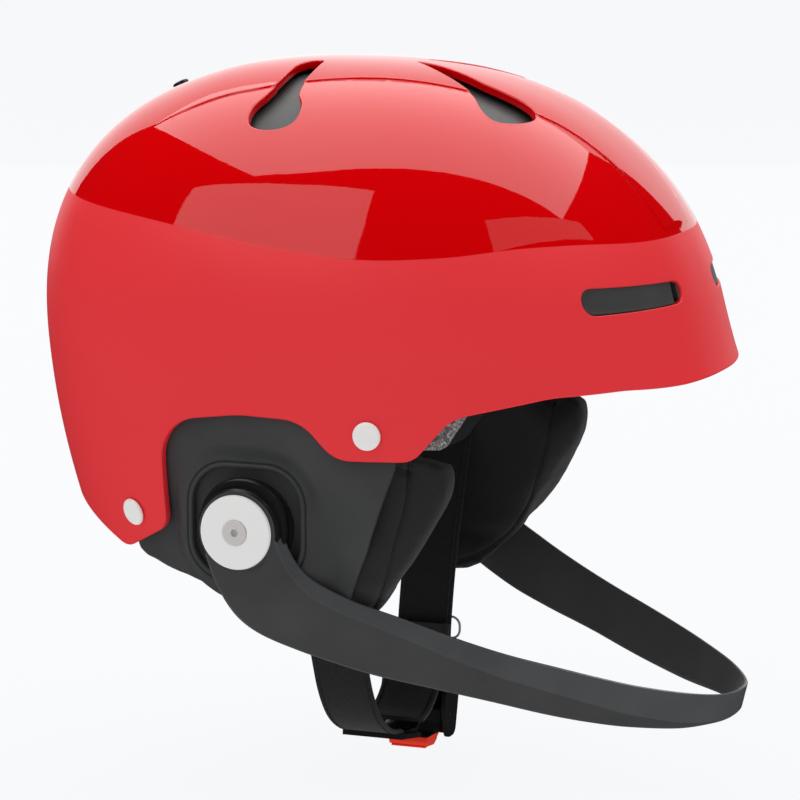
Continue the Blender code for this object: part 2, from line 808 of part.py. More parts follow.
def make_ear_pad(name, side):
    pad = field_block("pad", pad_inside, pad_outside, side)
    combine(pad, side_prism("outline", rounded(PAD_OUTLINE), 0.05, 0.13, side), "INTERSECT")
    room = circle(PIVOT_X, PIVOT_Z, NUT_SEAT_RADIUS + 0.001, 20)
    nut = side_prism("nut", room, 0.0925, 0.13, side)
    combine(pad, nut, "DIFFERENCE")
    for _, point in shell_rivet_places():
        if point.y * side > 0:
            combine(pad, rivet_hole(point), "DIFFERENCE")
    finish(pad, f"ear_pad_{name}", "black_fabric")


def make_pivot(name, side):
    base = ring_profile(0.0182, BORE_RADIUS, POCKET_FLOOR + GAP, 0.1042)
    pivot_piece(f"pivot_base_{name}", base, side, "black_plastic")
    ring = ring_profile(0.0168, BORE_RADIUS, 0.1045, EYE_INNER - GAP)
    pivot_piece(f"friction_ring_{name}", ring, side, "rubber")
    washer = (
        (BORE_RADIUS, EYE_OUTER + GAP),
        (0.0137, EYE_OUTER + GAP),
        (0.0141, EYE_OUTER + 0.0007),
        (0.0141, EYE_OUTER + 0.0014),
        (0.0137, EYE_OUTER + 0.0019),
        (0.0052, EYE_OUTER + 0.0021),
        (BORE_RADIUS, EYE_OUTER + 0.0005),
        (BORE_RADIUS, EYE_OUTER + GAP),
    )
    pivot_piece(f"pivot_washer_{name}", washer, side, "aluminium")
    screw = (
        (0.0, 0.0936),
        (SCREW_RADIUS, 0.0936),
        (SCREW_RADIUS, EYE_OUTER + 0.0006),
        (0.0047, EYE_OUTER + 0.0022),
        (0.0046, EYE_OUTER + 0.0025),
        (0.0014, EYE_OUTER + 0.0025),
        (0.0014, EYE_OUTER + 0.0008),
        (0.0, EYE_OUTER + 0.0008),
    )
    pivot_piece(f"pivot_screw_{name}", screw, side, "steel")
    nut = (
        (BORE_RADIUS, 0.0930),
        (0.0050, 0.0930),
        (0.0050, NUT_SEAT - 0.0018),
        (0.0095, NUT_SEAT - 0.0018),
        (0.0095, NUT_SEAT - GAP),
        (BORE_RADIUS, NUT_SEAT - GAP),
        (BORE_RADIUS, 0.0930),
    )
    pivot_piece(f"pivot_nut_{name}", nut, side, "steel")


# Chin guard


def smooth_through(stations, steps):
    """Points on a Catmull-Rom curve through stations, with steps spans between each two."""
    points = []
    last = len(stations) - 1
    for index in range(last):
        keys = [Vector(stations[min(max(index + shift, 0), last)]) for shift in (-1, 0, 1, 2)]
        for step in range(steps):
            t = step / steps
            point = keys[1] * 2 + (keys[2] - keys[0]) * t
            point += (keys[0] * 2 - keys[1] * 5 + keys[2] * 4 - keys[3]) * t**2
            point += (keys[1] * 3 - keys[0] - keys[2] * 3 + keys[3]) * t**3
            points.append(point / 2)
    points.append(Vector(stations[-1]))
    return points


def guard_section(top, bottom, ahead, bevel):
    """One cross-section of the bar, with the slope on its upper outer edge."""
    up = (top - bottom).normalized()
    out = ahead.cross(up).normalized()
    height = (top - bottom).length
    half = GUARD_THICKNESS / 2
    edge = 0.0010
    places = (
        (edge, -half),
        (0.0, edge - half),
        (0.0, half - edge),
        (edge, half),
        (height - bevel, half),
        (height - edge / 2, -half + edge * 1.6),
        (height, -half + edge),
        (height - edge, -half),
    )
    return [bottom + up * rise + out * reach for rise, reach in places]


def guard_sections(steps=2):
    """Cross-sections all the way round the bar, from the right pivot to the left one."""
    right = [(x, -y, z, u, -v, w, bevel) for x, y, z, u, v, w, bevel in GUARD_STATIONS]
    places = smooth_through(right + list(GUARD_STATIONS[-2::-1]), steps)
    sections = []
    for index, place in enumerate(places):
        before = places[max(index - 1, 0)]
        after = places[min(index + 1, len(places) - 1)]
        ahead = Vector(after[:3]) + Vector(after[3:6]) - Vector(before[:3]) - Vector(before[3:6])
        sections.append(guard_section(Vector(place[:3]), Vector(place[3:6]), ahead, place[6]))
    return sections


def loft(name, sections):
    """A closed solid through a row of cross-sections with equal numbers of points."""
    shape = bmesh.new()
    rings = [[shape.verts.new(point) for point in section] for section in sections]
    count = len(rings[0])
    for first, second in zip(rings, rings[1:]):
        for index in range(count):
            after = (index + 1) % count
            shape.faces.new((first[index], first[after], second[after], second[index]))
    shape.faces.new(rings[0])
    shape.faces.new(rings[-1][::-1])
    return object_from_bmesh(name, shape)


def make_chin_guard():
    guard = loft("chin_guard", guard_sections())
    for _, side in SIDES:
        eye = side_prism("eye", circle(PIVOT_X, PIVOT_Z, EYE_RADIUS, 32), EYE_INNER, EYE_OUTER, side)
        combine(guard, eye, "UNION")
        combine(guard, pivot_bore(side, 0.0031), "DIFFERENCE")
    finish(guard, "chin_guard", "dark_plastic")


# Chin strap and buckle


def make_strap(name, side):
    lower = STRAP_LOWER_LEFT if side > 0 else STRAP_LOWER_RIGHT
    route = [Vector((y * side, z)) for y, z in STRAP_ROUTE + lower]
    outline = band(route, STRAP_THICKNESS)
    strap = prism("strap", outline, -STRAP_HALF_WIDTH, STRAP_HALF_WIDTH, "X")
    finish(strap, f"strap_{name}", "webbing")
    low, high = sorted((side * ANCHOR_Y[0], side * ANCHOR_Y[1]))
    plate = box("plate", (-ANCHOR_HALF_LENGTH, low, ANCHOR_Z[0]), (ANCHOR_HALF_LENGTH, high, ANCHOR_Z[1]))
    finish(plate, f"strap_anchor_{name}", "steel")


def make_strap_ring():
    """A wire D-ring that lies on the outside of the left strap."""
    corners = [(0.0145, -0.0895), (-0.0145, -0.0895), (-0.0145, -0.0975), (0.0145, -0.0975)]
    outline = rounded([(x, z, 0.0025) for x, z in corners], steps=3)
    curve = bpy.data.curves.new("ring", "CURVE")
    curve.dimensions = "3D"
    curve.bevel_depth = 0.0009
    curve.bevel_resolution = 1
    spline = curve.splines.new("POLY")
    spline.points.add(len(outline) - 1)
    for point, place in zip(spline.points, outline):
        point.co = (place.x, 0.0526, place.y, 1.0)
    spline.use_cyclic_u = True
    ring = bpy.data.objects.new("ring", curve)
    bpy.context.scene.collection.objects.link(ring)
    bpy.context.view_layer.update()
    graph = bpy.context.evaluated_depsgraph_get()
    shape = bmesh.new()
    shape.from_mesh(bpy.data.meshes.new_from_object(ring.evaluated_get(graph)))
    bpy.data.objects.remove(ring, do_unlink=True)
    bmesh.ops.remove_doubles(shape, verts=shape.verts, dist=1e-6)
    finish(object_from_bmesh("ring", shape), "strap_ring", "steel")


def pin_bore():
    radius = LEVER_PIN_RADIUS + GAP
    return prism("bore", circle(*LEVER_PIN, radius, 14), -0.02, 0.02, "X")


def make_buckle_body():
    body = prism("body", rounded(BUCKLE_BODY), -BUCKLE_HALF_WIDTH, BUCKLE_HALF_WIDTH, "X")
    cavity = prism("cavity", rounded(BUCKLE_CAVITY), -CAVITY_HALF_WIDTH, CAVITY_HALF_WIDTH, "X")
    combine(body, cavity, "DIFFERENCE")
    combine(body, pin_bore(), "DIFFERENCE")
    finish(body, "buckle_body", "black_plastic")


def make_buckle_lever():
    """The orange release lever, on a steel pin with a return spring beside it."""
    lever = prism("lever", rounded(LEVER_OUTLINE), -LEVER_HALF_WIDTH, LEVER_HALF_WIDTH, "X")
    combine(lever, pin_bore(), "DIFFERENCE")
    finish(lever, "buckle_lever", "orange_plastic")
    half = BUCKLE_HALF_WIDTH - GAP
    pin = prism("pin", circle(*LEVER_PIN, LEVER_PIN_RADIUS, 14), -half, half, "X")
    finish(pin, "lever_pin", "steel")
    coil = prism("coil", circle(*LEVER_PIN, SPRING_RADIUS, 14), *SPRING_ENDS, "X")
    combine(coil, pin_bore(), "DIFFERENCE")
    finish(coil, "lever_spring", "steel")


def make_buckle_tongue():
    """The toothed tongue: a wide head that holds the webbing and a narrow blade with teeth."""
    route = [Vector(point) for point in TONGUE_ROUTE]
    head = band(route[:3], TONGUE_THICKNESS)
    tongue = prism("head", head, -TONGUE_HEAD_HALF_WIDTH, TONGUE_HEAD_HALF_WIDTH, "X")
    blade = prism("blade", band(route[1:], TONGUE_THICKNESS), -TONGUE_HALF_WIDTH, TONGUE_HALF_WIDTH, "X")
    combine(tongue, blade, "UNION")
    start, end = route[-2], route[-1]
    lift = (start - end).normalized().orthogonal() * TONGUE_THICKNESS / 2
    for tooth in range(TONGUE_TEETH):
        middle = start.lerp(end, (tooth + 1) / (TONGUE_TEETH + 1)) + lift
        notch = prism("notch", circle(*middle, TOOTH_RADIUS, 6), -0.0050, 0.0050, "X")
        combine(tongue, notch, "DIFFERENCE")
    finish(tongue, "buckle_tongue", "black_plastic")


def make_buckle_flap():
    """The soft flap that keeps the buckle off the wearer's skin."""
    flap = prism("flap", band(FLAP_ROUTE, FLAP_THICKNESS), -FLAP_HALF_WIDTH, FLAP_HALF_WIDTH, "X")
    finish(flap, "buckle_flap", "black_fabric")


# Goggle clip at the back


def make_goggle_clip():
    low = (-0.150, -CLIP_HALF_WIDTH, CLIP_LOW_Z)
    region = box("keep", low, (-0.090, CLIP_HALF_WIDTH, CLIP_TOP_Z))
    flap = dome_layer("flap", -0.0030, -0.0006, region)
    finish(flap, "goggle_clip_flap", "rubber")
    low = (-0.150, -CLIP_BASE_HALF_WIDTH, CLIP_TOP_Z + 0.0008)
    region = box("keep", low, (-0.090, CLIP_BASE_HALF_WIDTH, CLIP_BASE_TOP_Z))
    base = dome_layer("base", -0.0034, -GAP, region)
    finish(base, "goggle_clip_base", "black_plastic")


def put_origin(name, place):
    """Moves an object's origin onto its joint's axis, and leaves its shape where it is."""
    item = bpy.data.objects[name]
    item.data.transform(Matrix.Translation(-Vector(place)))
    item.location = place


def put_origins():
    pivot = (PIVOT_X, 0.0, PIVOT_Z)
    for name in ("chin_guard", "pivot_washer_right", "pivot_washer_left"):
        put_origin(name, pivot)
    for name in ("vent_shutter", "vent_slider_knob"):
        put_origin(name, (SHUTTER_AXIS_X, 0.0, SHUTTER_AXIS_Z))
    put_origin("buckle_lever", (0.0, *LEVER_PIN))
    put_origin("buckle_tongue", (0.0, *TONGUE_ROUTE[-1]))
    put_origin("goggle_clip_flap", CLIP_HINGE)


def build():
    clear_scene()
    make_shell()
    make_liner()
    make_shutter()
    make_knob()
    make_rivets()
    make_comfort_pads()
    for name, side in SIDES:
        make_vent_insert(name, side)
        make_ear_cover(name, side)
        make_ear_pad(name, side)
        make_pivot(name, side)
        make_strap(name, side)
    make_chin_guard()
    make_strap_ring()
    make_buckle_body()
    make_buckle_lever()
    make_buckle_tongue()
    make_buckle_flap()
    make_goggle_clip()
    put_origins()
    gather("ski_helmet")


build()
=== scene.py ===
"""Looks for a red ski helmet with a chin guard, built round its CAD frame.

The wearer faces +X and the wearer's left is +Y. Everything is in metres, in the frame's own axes.
"""

import math
from contextlib import contextmanager

import bmesh
import bpy
import numpy as np
from mathutils import Matrix, Vector
from mathutils.bvhtree import BVHTree


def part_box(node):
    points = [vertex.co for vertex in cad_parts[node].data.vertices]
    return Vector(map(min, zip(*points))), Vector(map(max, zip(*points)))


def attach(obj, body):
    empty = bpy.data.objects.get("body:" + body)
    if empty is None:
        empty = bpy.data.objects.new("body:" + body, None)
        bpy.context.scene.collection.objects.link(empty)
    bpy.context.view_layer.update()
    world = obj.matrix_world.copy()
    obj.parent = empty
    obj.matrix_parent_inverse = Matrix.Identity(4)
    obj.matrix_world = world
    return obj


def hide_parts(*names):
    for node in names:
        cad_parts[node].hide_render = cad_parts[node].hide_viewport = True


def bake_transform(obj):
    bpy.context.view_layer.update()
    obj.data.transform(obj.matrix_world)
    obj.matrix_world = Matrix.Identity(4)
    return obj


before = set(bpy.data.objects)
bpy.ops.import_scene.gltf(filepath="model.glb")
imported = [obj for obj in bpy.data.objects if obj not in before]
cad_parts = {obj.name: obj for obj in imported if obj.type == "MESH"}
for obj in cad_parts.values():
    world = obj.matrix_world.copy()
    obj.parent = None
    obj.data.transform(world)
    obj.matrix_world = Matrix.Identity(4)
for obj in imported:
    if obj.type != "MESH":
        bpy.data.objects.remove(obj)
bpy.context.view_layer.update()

MM = 0.001

# The dome that every shell, lining and pad is a layer of.
CROWN_Z = 0.1407
WIDEST_Z = 0.0263
HALF_LENGTH = 0.132
HALF_WIDTH = 0.113
PLAN_POWER = 2.4
LENGTH_POWER = 2.44
WIDTH_POWER = 2.3
DOME_X = 0.0073
DOME_LEAN = 0.124
NAPE_FORWARD = 1.5
NAPE_NARROWS = 13.9
BRIM_Z = 0.050
BRIM_FORWARD = 4.8
DOME_FLOOR = -0.075
DOME_MIDDLE = np.array((0.0, 0.0, 0.012))

# The layers, as depths below the dome's skin. The shutter is cut at its depth, and then lifted.
SHELL_WALL = 0.0026
LINER_OUTER = 0.0031
LINER_INNER = 0.027
SHUTTER_OUTER = 0.0054
SHUTTER_INNER = 0.0070
SHUTTER_LIFT = 0.0012
SHUTTER_POCKET = 0.0099
SHUTTER_TRAVEL = 0.014

# Lower rims in side view: x, z and corner radius.
SHELL_RIM = (
    (0.220, 0.0246, 0.0),
    (0.136, 0.0254, 0.020),
    (0.122, 0.0268, 0.040),
    (0.100, 0.0258, 0.040),
    (0.0675, 0.0188, 0.016),
    (0.0535, 0.0024, 0.010),
    (0.024, 0.0016, 0.014),
    (0.011, 0.0158, 0.018),
    (-0.014, 0.0166, 0.060),
    (-0.0476, 0.0118, 0.018),
    (-0.0484, -0.0300, 0.009),
    (-0.072, -0.0425, 0.008),
    (-0.104, -0.0285, 0.020),
    (-0.220, -0.0225, 0.0),
)
LINER_RIM = (
    (0.220, 0.0262, 0.0),
    (0.126, 0.0282, 0.030),
    (0.100, 0.0268, 0.040),
    (0.0735, 0.0226, 0.004),
    (0.0630, 0.0070, 0.002),
    (0.0550, 0.0066, 0.002),
    (0.0500, 0.0260, 0.003),
    (-0.074, 0.0260, 0.003),
    (-0.078, -0.0370, 0.004),
    (-0.104, -0.0255, 0.020),
    (-0.220, -0.0195, 0.0),
)

# Nearer the middle than this, the shell's rim runs across the helmet.
RIM_MEET_Y = 0.050

# Crown vents in plan, on the left side: a few points of each closed, curved outline, in millimetres.
REAR_VENT = (
    (-17.5, 17.8), (-21.8, 18.8), (-24.1, 24.5), (-24.0, 34.0), (-23.8, 44.0), (-25.0, 55.0),
    (-27.5, 63.5), (-26.3, 71.0), (-20.5, 74.3), (-12.5, 73.9), (-8.2, 70.0), (-8.7, 62.5),
    (-12.6, 55.0), (-14.2, 46.0), (-14.8, 36.0), (-16.0, 25.0),
)
FRONT_VENT = (
    (17.6, 6.0), (26.5, 8.2), (38.0, 14.0), (48.0, 19.4), (57.0, 21.4), (66.0, 23.0),
    (72.4, 27.6), (72.6, 34.5), (68.6, 42.0), (62.8, 46.2), (56.6, 42.8), (50.5, 34.8),
    (41.0, 27.0), (31.5, 19.6), (22.8, 11.6),
)
VENTS = (REAR_VENT, FRONT_VENT)
VENT_LOW_Z = 0.085
PATCH_LOW_Z = 0.065
SLOT_CENTRE = np.array((0.1181, 0.0474, 0.0592))
SLOT_HALF_LENGTH = 0.0285
SLOT_HALF_HEIGHT = 0.0050
SLOT_YAW = math.radians(-67.0)
SLOT_ALONG = np.array((math.cos(SLOT_YAW), math.sin(SLOT_YAW), 0.0))
SLOT_OUT = np.array((-math.sin(SLOT_YAW), math.cos(SLOT_YAW), 0.0))
SLOT_TAPER = 0.36
SLOT_CUT = 0.020
TRACK_FRONT_X = -0.068
TRACK_REAR_X = -0.104
TRACK_HALF_WIDTH = 0.0058

# The raised band over the crown: half its width at places along the helmet, in millimetres.
BAND_X = (-86, -75, -56, -41, -31, -14, 13, 49, 72, 82, 101, 123)
BAND_HALF = (70, 66, 60, 54.5, 52, 46, 39, 33, 27.5, 24.2, 20, 15.8)
BAND_HEIGHT = 0.0006
BAND_EDGE = 0.0007
BAND_FLOOR_Z = 0.0795
BAND_REAR_X = (-0.078, -0.050)
BAND_FADE = 0.0016
BAND_REAR_END_X = -0.085
BAND_FINE_X = 0.108
BAND_FRONT_END_X = 0.1226
BAND_COARSE_STEP = 0.0022
BAND_FINE_STEP = 0.0007

# How far the band's slab dips into the skin where it doesn't rise, sinks at its ends, and reaches down.
BAND_DIP = 0.018 * MM
BAND_SUNK = 0.3 * MM
BAND_DEPTH = 1.2 * MM

# Distances in from the band's edge where the slab has points, in millimetres.
BAND_EDGE_STEPS = (-0.10, 0.0, 0.12, 0.24, 0.36, 0.48, 0.60, 0.72, 0.84, 1.2, 2.2)

# The paint line between the gloss crown and the matt sides: x and z, in millimetres.
PAINT_LINE = (
    (-140, 94.5), (-108, 90.6), (-59, 86), (8, 77), (31, 75.2), (56, 76), (97, 79.4), (121, 77.6), (140, 76),
)
PAINT_RANGE_Z = (0.070, 0.100)
PAINT_EDGE = 0.0001

# How far the cutters are grown and reach, and how wide and how fine the lip round each cut is.
CUT_GROWTH = 0.0006
CUT_REACH = 0.16
LIP_WIDTH = 0.0015
LIP_SPACING = 0.0008

PIVOT_X = -0.0140
PIVOT_Z = -0.0270
SIDES = (("right", -1), ("left", 1))


# Arrays and the dome

CAST_REACH = 0.4
CAST_HALVINGS = 38
NORMAL_STEP = 0.0004
ON_SURFACE = 2.5e-5


def unit(vectors):
    return vectors / np.linalg.norm(vectors, axis=-1, keepdims=True)


def headings(points, closed=False):
    """The direction of a line at each of its points."""
    if closed:
        return unit(np.roll(points, -1, axis=0) - np.roll(points, 1, axis=0))
    return unit(np.gradient(points, axis=0))


def full_turn(count):
    """Evenly spread angles, all the way round."""
    return np.linspace(0.0, math.tau, count, endpoint=False)


def dome_plan(z, inset):
    """Half-length, half-width and middle x of the dome's plan at each height."""
    rise = np.clip((z - WIDEST_Z) / (CROWN_Z - inset - WIDEST_Z), 0.0, 1.0)
    drop = np.maximum(WIDEST_Z - z, 0.0)
    length = (HALF_LENGTH - inset) * (1 - rise**LENGTH_POWER) ** (1 / LENGTH_POWER)
    width = (HALF_WIDTH - inset) * (1 - rise**WIDTH_POWER) ** (1 / WIDTH_POWER)
    middle = DOME_X - DOME_LEAN * z + NAPE_FORWARD * drop**2
    return length, width * (1 - NAPE_NARROWS * drop**2), middle


def brim_reach(x, z, middle):
    """How much further forward the dome's front half comes, below the brim's height."""
    reach = BRIM_FORWARD * np.maximum(BRIM_Z - np.maximum(z, 0.0), 0.0) ** 2
    return np.where(x > middle, reach, 0.0)


def in_dome(points, inset):
    x, y, z = points.T
    length, width, middle = dome_plan(z, inset)
    length = np.maximum(length, 1e-9) + brim_reach(x, z, middle)
    filled = (np.abs(x - middle) / length) ** PLAN_POWER + (np.abs(y) / np.maximum(width, 1e-9)) ** PLAN_POWER
    return (filled < 1.0) & (z > DOME_FLOOR) & (z < CROWN_Z - inset)


def cast(starts, directions, inset):
    """Where each ray leaves the dome."""
    starts = np.broadcast_to(starts, directions.shape)
    low = np.zeros(len(directions))
    high = np.full(len(directions), CAST_REACH)
    for _ in range(CAST_HALVINGS):
        middle = (low + high) / 2
        inside = in_dome(starts + directions * middle[:, None], inset)
        low = np.where(inside, middle, low)
        high = np.where(inside, high, middle)
    return starts + directions * low[:, None]


def to_dome(points, inset):
    return cast(DOME_MIDDLE, unit(points - DOME_MIDDLE), inset)


def top_of_dome(x, y, inset=0.0):
    """The dome's points over places in plan."""
    starts = np.stack([x, y, np.full(len(x), 0.03)], axis=1)
    return cast(starts, np.broadcast_to((0.0, 0.0, 1.0), starts.shape), inset)


def around(out):
    """Two directions square to each given one."""
    helper = np.where(np.abs(out[:, 2:]) > 0.9, (1.0, 0.0, 0.0), (0.0, 0.0, 1.0))
    first = unit(np.cross(out, helper))
    return first, np.cross(out, first)


def surface_normals(points, surface):
    """Outward directions of surface, a function that moves points onto it, from nearby points."""
    out = unit(points - DOME_MIDDLE)
    first, second = around(out)
    across = surface(points + first * NORMAL_STEP) - surface(points - first * NORMAL_STEP)
    along = surface(points + second * NORMAL_STEP) - surface(points - second * NORMAL_STEP)
    normals = unit(np.cross(across, along))
    return normals * np.sign((normals * out).sum(axis=1, keepdims=True))


def layer(inset):
    """A function that moves points onto one layer of the dome."""
    return lambda points: to_dome(points, inset)


def dome_normals(points):
    return surface_normals(points, layer(0.0))


def dome_side(x, z, inset, brim=True):
    """The dome's y at places in its side view, with or without its brim."""
    length, width, middle = dome_plan(z, inset)
    if brim:
        length = length + brim_reach(x, z, middle)
    along = np.minimum(np.abs(x - middle) / length, 1.0)
    return width * (1 - along**PLAN_POWER) ** (1 / PLAN_POWER)


def smooth_step(value):
    value = np.clip(value, 0.0, 1.0)
    return value * value * (3 - 2 * value)


def band_rise(points):
    """How far the raised band stands above the dome at points near it."""
    half = np.interp(points[:, 0], BAND_LINE[:, 0], BAND_LINE[:, 1])
    edge = smooth_step((half - np.abs(points[:, 1])) / BAND_EDGE)
    fade = smooth_step((points[:, 2] - BAND_FLOOR_Z) / BAND_FADE)
    fade *= smooth_step((points[:, 0] - BAND_REAR_X[0]) / (BAND_REAR_X[1] - BAND_REAR_X[0]))
    return BAND_HEIGHT * edge * fade


def to_skin(points):
    """The visible outer skin: the dome with its raised band."""
    base = to_dome(points, 0.0)
    return base + unit(base - DOME_MIDDLE) * band_rise(base)[:, None]


# Outlines


def rounded(corners, steps=6):
    """The outline through corners of x, y and radius, with an arc at each."""
    points = []
    for index, (x, y, radius) in enumerate(corners):
        here = Vector((x, y))
        before = Vector(corners[index - 1][:2]) - here
        after = Vector(corners[(index + 1) % len(corners)][:2]) - here
        if radius <= 0.0:
            points.append(here)
            continue
        half = before.angle(after) / 2
        reach = min(radius / math.tan(half), 0.49 * before.length, 0.49 * after.length)
        radius = reach * math.tan(half)
        middle = here + (before.normalized() + after.normalized()).normalized() * radius / math.sin(half)
        start = here + before.normalized() * reach - middle
        turn = start.angle_signed(here + after.normalized() * reach - middle)
        for step in range(steps + 1):
            arm = start.copy()
            arm.rotate(Matrix.Rotation(-turn * step / steps, 2))
            points.append(middle + arm)
    return np.array(points)


def rounded_box(x, y, half_x, half_y, radius, steps=8):
    corners = ((half_x, half_y), (-half_x, half_y), (-half_x, -half_y), (half_x, -half_y))
    return rounded([(x + right, y + up, radius) for right, up in corners], steps)


def circle(x, y, radius, sides=64):
    turns = full_turn(sides)
    return np.stack([x + radius * np.cos(turns), y + radius * np.sin(turns)], axis=1)


def smooth_through(stations, steps, closed=False):
    """Points on a Catmull-Rom curve through stations, with steps spans between each two."""
    keys = np.array(stations, float)
    count = len(keys)
    spans = count if closed else count - 1
    points = []
    for index in range(spans):
        picks = [index - 1, index, index + 1, index + 2]
        picks = [pick % count if closed else min(max(pick, 0), count - 1) for pick in picks]
        a, b, c, d = keys[picks]
        for t in np.arange(steps) / steps:
            curve = 2 * b + (c - a) * t + (2 * a - 5 * b + 4 * c - d) * t**2 + (3 * b - a - 3 * c + d) * t**3
            points.append(curve / 2)
    if not closed:
        points.append(keys[-1])
    return np.array(points)


# The raised band's edge in plan: x and its distance from the middle.
BAND_LINE = smooth_through([(x * MM, half * MM) for x, half in zip(BAND_X, BAND_HALF)], 8)


def evenly(points, spacing, closed=False):
    """The same line with points a fixed distance apart."""
    line = np.vstack([points, points[:1]]) if closed else np.asarray(points)
    lengths = np.concatenate([[0.0], np.cumsum(np.linalg.norm(np.diff(line, axis=0), axis=1))])
    count = max(int(round(lengths[-1] / spacing)), 2)
    places = np.linspace(0.0, lengths[-1], count + 1)[: count if closed else count + 1]
    return np.stack([np.interp(places, lengths, column) for column in line.T], axis=1)


def grown(outline, distance):
    """A closed outline moved outwards by a distance."""
    ahead = headings(outline, closed=True)
    out = np.stack([ahead[:, 1], -ahead[:, 0]], axis=1)
    x, y = outline.T
    turn = (x * np.roll(y, -1) - np.roll(x, -1) * y).sum()
    return outline + out * distance * math.copysign(1.0, turn)


# Meshes


def new_object(name, data):
    item = bpy.data.objects.new(name, data)
    bpy.context.scene.collection.objects.link(item)
    return item


def mesh_object(name, points, faces, smooth=True):
    mesh = bpy.data.meshes.new(name)
    mesh.from_pydata(np.asarray(points, float).tolist(), [], [list(face) for face in faces])
    mesh.update()
    if smooth:
        mesh.shade_smooth()
    return new_object(name, mesh)


@contextmanager
def edited(mesh):
    """A mesh's shape to edit, which is written back at the end."""
    shape = bmesh.new()
    shape.from_mesh(mesh)
    yield shape
    shape.to_mesh(mesh)
    shape.free()


def face_out(item):
    with edited(item.data) as shape:
        bmesh.ops.recalc_face_normals(shape, faces=shape.faces)
        if shape.calc_volume(signed=True) < 0:
            bmesh.ops.reverse_faces(shape, faces=shape.faces)
    return item


def coordinates(item):
    points = np.empty(len(item.data.vertices) * 3)
    item.data.vertices.foreach_get("co", points)
    return points.reshape(-1, 3)


def set_coordinates(item, points):
    item.data.vertices.foreach_set("co", np.asarray(points, float).ravel())
    item.data.update()


def remove(item):
    mesh = item.data
    bpy.data.objects.remove(item, do_unlink=True)
    if isinstance(mesh, bpy.types.Mesh) and not mesh.users:
        bpy.data.meshes.remove(mesh)


def settle(item):
    """Replaces the object's mesh with its evaluated one, so that no modifier is left on it."""
    bpy.context.view_layer.update()
    evaluated = item.evaluated_get(bpy.context.evaluated_depsgraph_get())
    mesh = bpy.data.meshes.new_from_object(evaluated)
    item.modifiers.clear()
    item.data = mesh
    return item


def combine(item, other, operation="DIFFERENCE"):
    """Cuts the other item away, or combines the two in another way, and removes the other."""
    modifier = item.modifiers.new("combine", "BOOLEAN")
    modifier.operation = operation
    modifier.solver = "EXACT"
    modifier.object = other
    settle(item)
    remove(other)
    return item


def joined(name, items):
    """One object from several, with their materials, faces and normals as they were."""
    bpy.ops.object.select_all(action="DESELECT")
    for item in items:
        item.select_set(True)
    bpy.context.view_layer.objects.active = items[0]
    bpy.ops.object.join()
    items[0].name = name
    items[0].data.name = name
    return items[0]


def prism(outline, low, high, along):
    """A flat outline given depth along one axis: its two axes are the other two, in order."""
    count = len(outline)
    order = {"X": (2, 0, 1), "Y": (0, 2, 1), "Z": (0, 1, 2)}[along]
    points = []
    for depth in (low, high):
        flat = np.column_stack([outline, np.full(count, depth)])
        points.append(flat[:, order])
    faces = [tuple(range(count)), tuple(range(2 * count - 1, count - 1, -1))]
    faces += [(i, (i + 1) % count, (i + 1) % count + count, i + count) for i in range(count)]
    return face_out(mesh_object("prism", np.vstack(points), faces))


def sweep(rings, closed=True, capped=False):
    """Points and faces of a surface through rings of equally many points."""
    rings = np.asarray(rings)
    rows, count = rings.shape[:2]
    faces = []
    for row in range(rows if closed else rows - 1):
        here = row * count
        after = (row + 1) % rows * count
        for index in range(count):
            step = (index + 1) % count
            faces.append((here + index, here + step, after + step, after + index))
    if capped:
        faces.append(tuple(range(count)))
        faces.append(tuple((rows - 1) * count + index for index in reversed(range(count))))
    return rings.reshape(-1, 3), faces


def sharpen(item, angle=35.0):
    item.data.shade_smooth()
    item.data.set_sharp_from_angle(angle=math.radians(angle))
    return item


def weighted(item):
    """Turns the corners' normals towards the larger faces, between sharp edges."""
    item.modifiers.new("weights", "WEIGHTED_NORMAL").keep_sharp = True
    return settle(item)


def bevelled(item, width, segments, angle):
    """Rounds the edges that are sharper than an angle."""
    modifier = item.modifiers.new("bevel", "BEVEL")
    modifier.width = width
    modifier.segments = segments
    modifier.limit_method = "ANGLE"
    modifier.angle_limit = math.radians(angle)
    return settle(item)


def divided(item):
    """Divides each face in four, smoothly."""
    modifier = item.modifiers.new("finer", "SUBSURF")
    modifier.levels = 1
    modifier.render_levels = 1
    return settle(item)


def shade_as(item, surfaces):
    """Gives the faces that lie on a smooth surface that surface's own normals.

    surfaces holds pairs of a function that moves points onto a surface and the side that is seen, 1 or -1.
    """
    sharpen(item)
    points = coordinates(item)
    mesh = item.data
    chosen = np.zeros((len(mesh.loops), 3))
    corners = np.empty(len(mesh.loops), np.int64)
    mesh.loops.foreach_get("vertex_index", corners)
    starts = np.empty(len(mesh.polygons), np.int64)
    mesh.polygons.foreach_get("loop_start", starts)
    for surface, seen in surfaces:
        moved = surface(points)
        on = np.linalg.norm(moved - points, axis=1) < ON_SURFACE
        normals = np.zeros_like(points)
        normals[on] = surface_normals(points[on], surface) * seen
        whole = np.logical_and.reduceat(on[corners], starts)
        sizes = np.diff(np.append(starts, len(corners)))
        use = np.repeat(whole, sizes)
        chosen[use] = normals[corners[use]]
    mesh.normals_split_custom_set(chosen.tolist())
    return item


def dome_mesh(name, inset, cuts):
    """A cube whose faces are divided evenly and pushed out to the dome."""
    shape = bmesh.new()
    bmesh.ops.create_cube(shape, size=2.0)
    bmesh.ops.subdivide_edges(shape, edges=shape.edges, cuts=cuts, use_grid_fill=True)
    mesh = bpy.data.meshes.new(name)
    shape.to_mesh(mesh)
    shape.free()
    item = new_object(name, mesh)
    even = np.tan(coordinates(item) * math.pi / 4)
    set_coordinates(item, cast(DOME_MIDDLE, unit(even), inset))
    return face_out(item)


